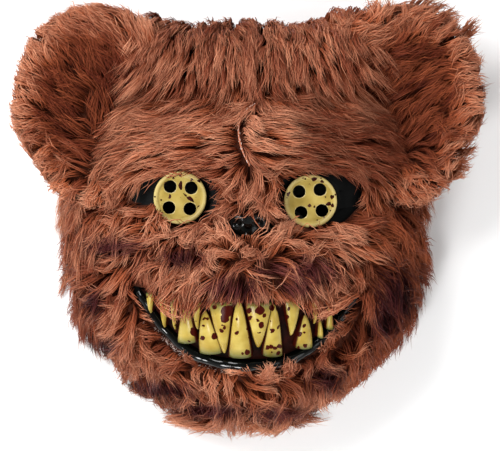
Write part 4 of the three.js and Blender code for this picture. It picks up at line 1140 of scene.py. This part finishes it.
# The face in four quarters, each a grid of rays from a hole's edge to the quarter's outline; the rim
# and the hole walls close it with the mirror image on its back.
def makeButtonEye(name, side):
    spacing = button["holeSpacing"] / 2
    inner = dishEdge - button["dish"]
    corner = math.atan2(-spacing, inner - spacing)
    special = [corner, math.pi / 2 - corner, math.radians(225)]
    turns = np.unique(np.round(np.concatenate([np.linspace(0, 2 * np.pi, button["rays"], endpoint=False),
                                               np.mod(special, 2 * np.pi)]), 6))
    cosine, sine = np.cos(turns), np.sin(turns)
    far = np.full(len(turns), 1e9)
    far = np.where(cosine < -1e-6, np.minimum(far, spacing / np.maximum(-cosine, 1e-6)), far)
    far = np.where(sine < -1e-6, np.minimum(far, spacing / np.maximum(-sine, 1e-6)), far)
    half = spacing * (cosine + sine)
    toArc = -half + np.sqrt(half ** 2 + inner ** 2 - 2 * spacing ** 2)
    onArc = toArc <= far + 1e-6
    far = np.minimum(far, toArc)
    shares = np.array([0.0, 0.06, 0.14, 0.35, 0.6, 0.8, 1.0])
    reach = button["hole"] + shares[:, None] * (far - button["hole"])[None, :]
    soft = np.array([-0.35, -0.08, 0, 0, 0, 0, 0])[:, None] * np.ones_like(reach)
    x = spacing + reach * cosine
    y = spacing + reach * sine
    top = np.stack([x, y, buttonFloor + soft], axis=-1)
    bottom = np.stack([x, y, np.zeros_like(x)], axis=-1)
    wall = np.stack([top[0], bottom[0]])
    parts, faces, paintedHighlights, holes = [], [], [], []
    start = 0
    for signX, signY in ((1, 1), (-1, 1), (-1, -1), (1, -1)):
        flip = np.array([signX, signY, 1])
        for grid, turned in ((top, False), (bottom, True), (wall, True)):
            size = grid.shape[0]
            cells = gridQuads(size, len(turns), True)
            if turned != (signX * signY < 0):
                cells = cells[:, ::-1]
            parts.append((grid * flip).reshape(-1, 3))
            faces.append(splitQuads(cells + start))
            pale = np.zeros((size, len(turns)))
            # painted highlight on the first rings round each hole
            if grid is top:
                pale[:3] = [[1.0], [0.8], [0.0]]
            paintedHighlights.append(pale.ravel())
            holes.append(np.full(pale.size, 1.0 if grid is wall else 0.0))
            start += pale.size
    # The rim: a profile turned round the middle, through the same points as the face's outline.
    arc = np.mod(np.arctan2(y[-1], x[-1])[onArc], 2 * np.pi)
    mirrored = np.concatenate([arc, np.pi - arc, arc + np.pi, 2 * np.pi - arc])
    ringTurn = np.unique(np.round(mirrored % (2 * np.pi), 5))
    ring = np.stack([buttonProfile[:, :1] * np.cos(ringTurn), buttonProfile[:, :1] * np.sin(ringTurn),
                     buttonProfile[:, 1:] * np.ones_like(ringTurn)], axis=-1)
    parts.append(ring.reshape(-1, 3))
    faces.append(splitQuads(gridQuads(len(buttonProfile), len(ringTurn), True)) + start)
    pale = rimPaintedHighlight[:, None] * np.ones_like(ringTurn)
    paintedHighlights.append(pale.ravel())
    holes.append(np.zeros(pale.size))
    points = np.concatenate(parts)
    triangles = np.concatenate(faces)
    turn = math.radians(button["turn"][side])
    spun = np.stack([points[:, 0] * math.cos(turn) - points[:, 1] * math.sin(turn),
                     points[:, 0] * math.sin(turn) + points[:, 1] * math.cos(turn), points[:, 2]], axis=1)
    spun = spun + [button["x"][side], button["y"][side], button["seat"]]
    piece = addPiece(name + "_painted", spun, triangles, buttonMaterial, "button",
                     {"rim": np.concatenate(paintedHighlights), "hole": np.concatenate(holes)})
    made = bmesh.new()
    made.from_mesh(piece.data)
    bmesh.ops.remove_doubles(made, verts=made.verts, dist=0.00002)
    bmesh.ops.recalc_face_normals(made, faces=made.faces)
    made.to_mesh(piece.data)
    made.free()
    mod = piece.modifiers.new("crispEdges", "EDGE_SPLIT")
    mod.split_angle = math.radians(50)
    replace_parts(piece, name)
    print(f"{piece.name}: {len(piece.data.polygons)} triangles")


makeButtonEye("eye_button_left", -1)
makeButtonEye("eye_button_right", 1)

# Drops of paint on each button: x, y from its middle, reach across, reach along, turn in degrees
drops = {
    -1: [
        (0.3, 6.9, 1.1, 2.6, 0), (5.8, -0.7, 2.4, 1.1, -35), (2.9, 1.5, 1.4, 0.5, -40),
        (-5.7, 1.4, 0.55, 0.55, 0), (-10.7, -1.3, 0.55, 0.55, 0), (-6.4, 11.6, 0.5, 0.5, 0),
        (-3.7, 11.1, 0.7, 0.6, 0), (10.6, 9.4, 1.1, 0.7, -30), (10.3, -4.9, 0.9, 0.4, 40),
        (-14.2, 0.5, 0.5, 0.6, 0),
    ],
    1: [
        (2.1, 12.4, 1.7, 1.1, 15), (6.5, 11.0, 1.1, 0.8, -20), (12.2, 2.3, 1.15, 1.3, 0),
        (10.2, -1.6, 1.6, 1.1, 20), (12.4, -2.5, 0.9, 1.1, 0), (8.4, 2.3, 0.45, 0.45, 0),
        (2.2, -3.2, 0.6, 0.7, 0), (-3.0, 12.5, 0.6, 0.5, 0), (14.0, 3.6, 0.5, 0.6, 0),
        (3.8, -10.7, 0.45, 0.45, 0), (11.2, -5.4, 0.45, 0.45, 0),
    ],
}
dropForm = {"height": 0.28, "sunk": 0.15, "around": 14, "shares": [0.25, 0.6, 0.88, 1.0, 1.0],
            "rises": [0.95, 0.7, 0.35, 0.1]}


# Low domes of paint that follow the button's dish and rim.
def makeDrops(name, side):
    rng = np.random.default_rng(40 + side)
    turn = np.linspace(0, 2 * np.pi, dropForm["around"], endpoint=False)
    shares = np.array(dropForm["shares"])[:, None]
    rise = np.append(np.array(dropForm["rises"]) * dropForm["height"], -dropForm["sunk"])[:, None]
    parts, faces, start = [], [], 0
    for middleX, middleY, across, along, lean in drops[side]:
        wavy = 1 + 0.14 * np.cos(3 * turn + rng.uniform(0, 6)) + 0.06 * np.cos(5 * turn + rng.uniform(0, 6))
        x = shares * wavy * np.cos(turn) * across
        y = shares * wavy * np.sin(turn) * along
        lean = math.radians(lean)
        atX = middleX + x * math.cos(lean) - y * math.sin(lean)
        atY = middleY + x * math.sin(lean) + y * math.cos(lean)
        level = np.interp(np.hypot(atX, atY), *buttonProfile[:4].T)
        rings = np.stack([atX, atY, level + rise], axis=-1)
        middleLevel = float(np.interp(math.hypot(middleX, middleY), *buttonProfile[:4].T))
        points, triangles = loft(rings, [middleX, middleY, middleLevel + dropForm["height"]],
                                 [middleX, middleY, middleLevel - dropForm["sunk"]])
        parts.append(points)
        faces.append(triangles + start)
        start += len(points)
    spots = np.concatenate(parts) + [button["x"][side], button["y"][side], button["seat"]]
    addPiece(name, spots, np.concatenate(faces), dropMaterial, "button")


makeDrops("eye_drops_left", -1)
makeDrops("eye_drops_right", 1)


# Nose: rings of a rounded triangle that bulge over the shell, with two nostril dents.
def makeNose():
    angle = np.linspace(0, 2 * np.pi, nose["around"], endpoint=False)[None, :]
    shares = np.sin(np.linspace(0.06, 1, nose["rows"]) * math.pi / 2)[:, None]
    narrow = 1 - nose["narrow"] * (1 - np.sin(angle))
    x = shares * np.cos(angle) * nose["width"] * narrow / 2
    y = nose["y"] + shares * np.sin(angle) * nose["height"] / 2
    dent = hill(np.abs(x), y, nose["width"] * 0.2, nose["y"] - nose["height"] * 0.08,
                nose["width"] * 0.14, nose["height"] * 0.2)
    rise = nose["skin"] + nose["depth"] * np.sqrt(np.maximum(1 - shares ** 2, 0)) - nose["dent"] * dent
    front = lifted(x, y, rise)
    back = lifted(x[-1:] * 0.96, nose["y"] + (y[-1:] - nose["y"]) * 0.96, nose["back"])
    rings = np.concatenate([front, back])
    front, back = (lifted(0.0, nose["y"], level) for level in (nose["skin"] + nose["depth"], nose["back"]))
    points, triangles = loft(rings, front, back)
    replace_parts(addPiece("nose_gloss", points, triangles, glossMaterial, "gloss_black"), "nose")


# A place a margin inside the grin's lower edge.
def insideLower(x, margin):
    slope = (lowerEdge(x + 0.01) - lowerEdge(x - 0.01)) / 0.02
    stretch = np.hypot(slope, 1)
    return x - margin * slope / stretch, lowerEdge(x) + margin / stretch


# Lower lip: a roll along the grin's lower edge, thinner at the corners.
def makeLip():
    share = np.linspace(0, 1, lip["steps"] + 1)
    x, y = insideLower(lip["reach"] * mouth["halfWidth"] * np.sin(math.pi / 2 * (2 * share - 1)),
                       lip["gap"] + lip["radius"])
    thickness = lip["radius"] * (0.55 + 0.45 * np.sin(np.pi * share))
    thickness = thickness * (1 + 0.05 * np.sin(share * 43) + 0.04 * np.sin(share * 91 + 1))
    centre = lifted(x, y, thickness + lip["lift"])
    up = unit(lifted(x, y, 1.0) - lifted(x, y, 0.0))
    rings, tangent = tubeRings(centre, up, thickness, lip["sides"])
    ends = [centre[0] - tangent[0] * lip["end"], centre[-1] + tangent[-1] * lip["end"]]
    points, triangles = loft(rings, *ends)
    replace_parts(addPiece("lower_lip_gloss", points, triangles, glossMaterial, "gloss_black"), "lower_lip")


# Plate behind the teeth: a wall between the lip and the grin's upper edge.
def makeGum():
    x = np.linspace(-lip["reach"], lip["reach"], gum["columns"]) * mouth["halfWidth"] * gum["width"]
    lowX, lowY = insideLower(x, lipRoom - 1.2)
    topX, topY = x, upperEdge(x) - lip["gap"]
    share = np.linspace(0, 1, gum["rows"])[:, None]
    spotX = lowX * (1 - share) + topX * share
    spotY = np.minimum(lowY, topY - 0.2) * (1 - share) + topY * share
    ripple = gum["ripple"] * np.sin(spotX * 1.3) * np.sin(np.pi * share)
    front = lifted(spotX, spotY, gum["high"] + ripple)
    back = lifted(spotX, spotY, gum["low"])
    quads = gridQuads(gum["rows"], gum["columns"], False)
    total = gum["rows"] * gum["columns"]
    points = np.concatenate([front.reshape(-1, 3), back.reshape(-1, 3)])
    triangles = splitQuads(closedWalls(quads, bareEdges(quads, total), total))
    triangles = facedOut(points - points.mean(axis=0), triangles)
    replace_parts(addPiece("gum_plate_gloss", points, triangles, gumMaterial, "gloss_black"), "gum_plate")


# Teeth: name, 1 for a lower and -1 for an upper one, place, width, length and lean as shares of the grin
teeth = [
    ("tooth_lower_1", 1, -0.48, 0.16, 0.42, 0), ("tooth_lower_2", 1, -0.29, 0.195, 0.45, -0.045),
    ("tooth_lower_3", 1, -0.06, 0.19, 0.62, -0.01), ("tooth_lower_4", 1, 0.19, 0.165, 0.55, 0.01),
    ("tooth_lower_5", 1, 0.437, 0.15, 0.35, 0.01), ("tooth_lower_6", 1, 0.565, 0.055, 0.2, 0),
    ("tooth_lower_7", 1, 0.645, 0.07, 0.24, 0), ("tooth_upper_1", -1, -0.775, 0.075, 0.24, 0),
    ("tooth_upper_2", -1, -0.665, 0.088, 0.38, 0), ("tooth_upper_3", -1, -0.578, 0.07, 0.38, 0),
    ("tooth_upper_4", -1, -0.39, 0.083, 0.34, 0), ("tooth_upper_5", -1, -0.205, 0.195, 0.6, 0.02),
    ("tooth_upper_6", -1, 0.08, 0.215, 0.52, 0), ("tooth_upper_7", -1, 0.335, 0.14, 0.4, 0),
    ("tooth_upper_8", -1, 0.52, 0.065, 0.3, 0),
]
toothForm = {"overLip": 2.5, "seat": 3.0, "depth": 4.4, "rows": 18, "arch": 15, "wider": 1.05,
             "edge": 0.4, "taper": {1: 0.45, -1: 0.72}, "closing": {1: 2.6, -1: 4.0}}


# Arches across a spine from the root to the tip. They keep their width at first, then close. The
# lower teeth stand inside the lip.
def makeToothPiece(name, away, at, width, length, lean):
    rootX = at * mouth["halfWidth"]
    overLip = lipRoom + toothForm["overLip"] * (1 - 0.5 * smoothstep(at, 0.3, 0.45))
    rootY = float(lowerEdge(rootX)) + overLip if away > 0 else float(upperEdge(rootX)) - lip["gap"]
    half = width * mouth["halfWidth"] / 2 * toothForm["wider"]
    reach = length * mouth["lowerDrop"]
    share = (1 - (1 - np.linspace(0, 0.985, toothForm["rows"])) ** 1.3)[:, None]
    thin = np.sqrt(1 - share ** toothForm["closing"][away])
    spineX = rootX + lean * mouth["halfWidth"] * share
    spineY = rootY + away * reach * share
    spread = half * (1 - toothForm["taper"][away] * share) * thin
    turn = np.linspace(0, math.pi, toothForm["arch"])[None, :]
    height = toothForm["seat"] + toothForm["edge"] + toothForm["depth"] * thin * np.sin(turn) ** 0.8
    front = lifted(spineX + spread * np.cos(turn), spineY + 0 * turn, height)
    backX = spineX + spread * np.array([[-1.0, 1.0]])
    back = lifted(backX, spineY + np.zeros((1, 2)), toothForm["seat"] - 0.2)
    rings = np.concatenate([front, back], axis=1)
    start = lifted(rootX, rootY - away * 0.2, toothForm["seat"] + 1.5)
    end = lifted(float(spineX[-1, 0]), rootY + away * reach, toothForm["seat"] + 0.6)
    points, triangles = loft(rings, start, end)
    across = np.concatenate([np.abs(np.cos(turn[0])) ** 1.6, [1.0, 1.0]])
    edge = np.concatenate([np.tile(across, toothForm["rows"]), [0.3, 0.6]])
    along = np.concatenate([np.repeat(share[:, 0], len(across)), [0.0, 1.0]])
    piece = addPiece(name + "_painted", points, triangles, toothMaterial, "tooth",
                     {"along": along, "edge": edge})
    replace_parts(piece, name)


makeNose()
makeLip()
makeGum()
for tooth in teeth:
    makeToothPiece(*tooth)
print("nose, lip, gum plate and teeth are made")


# Short threads: each leaves its start along its way for its length, with an arch in the middle. Shares
# are the places along it that have a ring.
def makeThreads(name, start, way, shares, length, width, arch):
    line = start[:, None] + way[:, None] * (shares[None, :] * length[:, None])[..., None]
    line[..., 2] += arch * np.cos(shares * np.pi)[None, :]
    points, triangles, _ = strandMesh(line, np.tile([0.0, 0.0, 1.0], (len(start), 1)), width)
    addPiece(name, points.reshape(-1, 3), triangles, threadMaterial, "fur")


# The forehead seam: a low fold of cloth with fine slanting stitches over it
seamFold = {"from": 34.5, "to": 66.0, "steps": 60, "around": 10, "height": 6.6, "radius": 0.55, "tone": 0.6}
stitches = {"count": 34, "over": 8.9, "length": (0.7, 1.5), "width": (0.3, 0.55), "arch": 0.25}


def makeSeam():
    y = np.linspace(seamFold["from"], seamFold["to"], seamFold["steps"])
    centre = lifted(partingX(y), y, seamFold["height"])
    up = unit(lifted(partingX(y), y, 1.0) - lifted(partingX(y), y, 0.0))
    thick = seamFold["radius"] * (0.4 + 0.6 * np.sin(np.pi * np.linspace(0.04, 0.96, len(y))) ** 0.6)
    rings, tangent = tubeRings(centre, up, thick, seamFold["around"])
    points, triangles = loft(rings, centre[0] - tangent[0] * 0.4, centre[-1] + tangent[-1] * 0.4)
    even = np.full(len(points), seamFold["tone"])
    addPiece("seam_fold", points, triangles, pileMaterial, "fur",
             {"along": even, "tone": even, "stain": 0 * even})
    rng = np.random.default_rng(7)
    count = stitches["count"]
    y = np.linspace(seamFold["from"] + 1, seamFold["to"] - 2, count) + rng.normal(0, 0.3, count)
    x = partingX(y) + rng.normal(0, 0.35, count)
    slope = (partingX(y + 0.1) - partingX(y - 0.1)) / 0.2
    way = unit(np.stack([slope + rng.normal(0.25, 0.3, count), np.ones(count), np.zeros(count)], axis=1))
    makeThreads("seam_stitches", lifted(x, y, stitches["over"]), way, np.linspace(-0.5, 0.5, 5),
                rng.uniform(*stitches["length"], count), rng.uniform(*stitches["width"], count),
                stitches["arch"])


# Loose threads of the backing along the lip, most of them on the left; lengths and width in mm
edgeThreads = {"count": 190, "onLeft": 0.75, "length": (0.6, 1.8), "width": 0.26}


def makeEdgeThreads():
    rng = np.random.default_rng(8)
    count = edgeThreads["count"]
    onLeft = rng.random(count) < edgeThreads["onLeft"]
    x = np.where(onLeft, rng.normal(-38, 7, count), rng.uniform(-24, -2, count))
    spotX, spotY = insideLower(x, -0.4 + rng.normal(0, 0.5, count))
    root = lifted(spotX, spotY, 2.6 + rng.uniform(0, 1.6, count))
    way = [rng.normal(mean, spread, count) for mean, spread in ((0, 1), (0, 0.6), (0.3, 0.3))]
    way = unit(np.stack(way, axis=1))
    makeThreads("lip_edge_threads", root, way, np.linspace(0, 1, 5),
                rng.uniform(*edgeThreads["length"], count), np.full(count, edgeThreads["width"]), 0.0)


makeSeam()
makeEdgeThreads()
print("seam and threads are made")

# Floor of pale matt paper, 6 m across
floorCorners = [(3 * x, 3 * y, 0) for x, y in ((-1, -1), (1, -1), (1, 1), (-1, 1))]
floorMesh = bpy.data.meshes.new("floor")
floorMesh.from_pydata(floorCorners, [], [(0, 1, 2, 3)])
floor = bpy.data.objects.new("floor", floorMesh)
bpy.context.scene.collection.objects.link(floor)
floorMesh.materials.append(patternedMaterial(
    "paleMattPaper", {"Roughness": 0.9, "Specular IOR Level": 0.1}, "TexNoise",
    {"Scale": 3.0}, [(0.0, "#f6f6f6"), (1.0, "#fbfbfb")]))

triangleCount = sum(len(o.data.polygons) for o in bpy.data.objects if o.type == "MESH" and o.get("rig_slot"))
print(f"all new pieces together: {triangleCount} triangles")
print("scene is done")
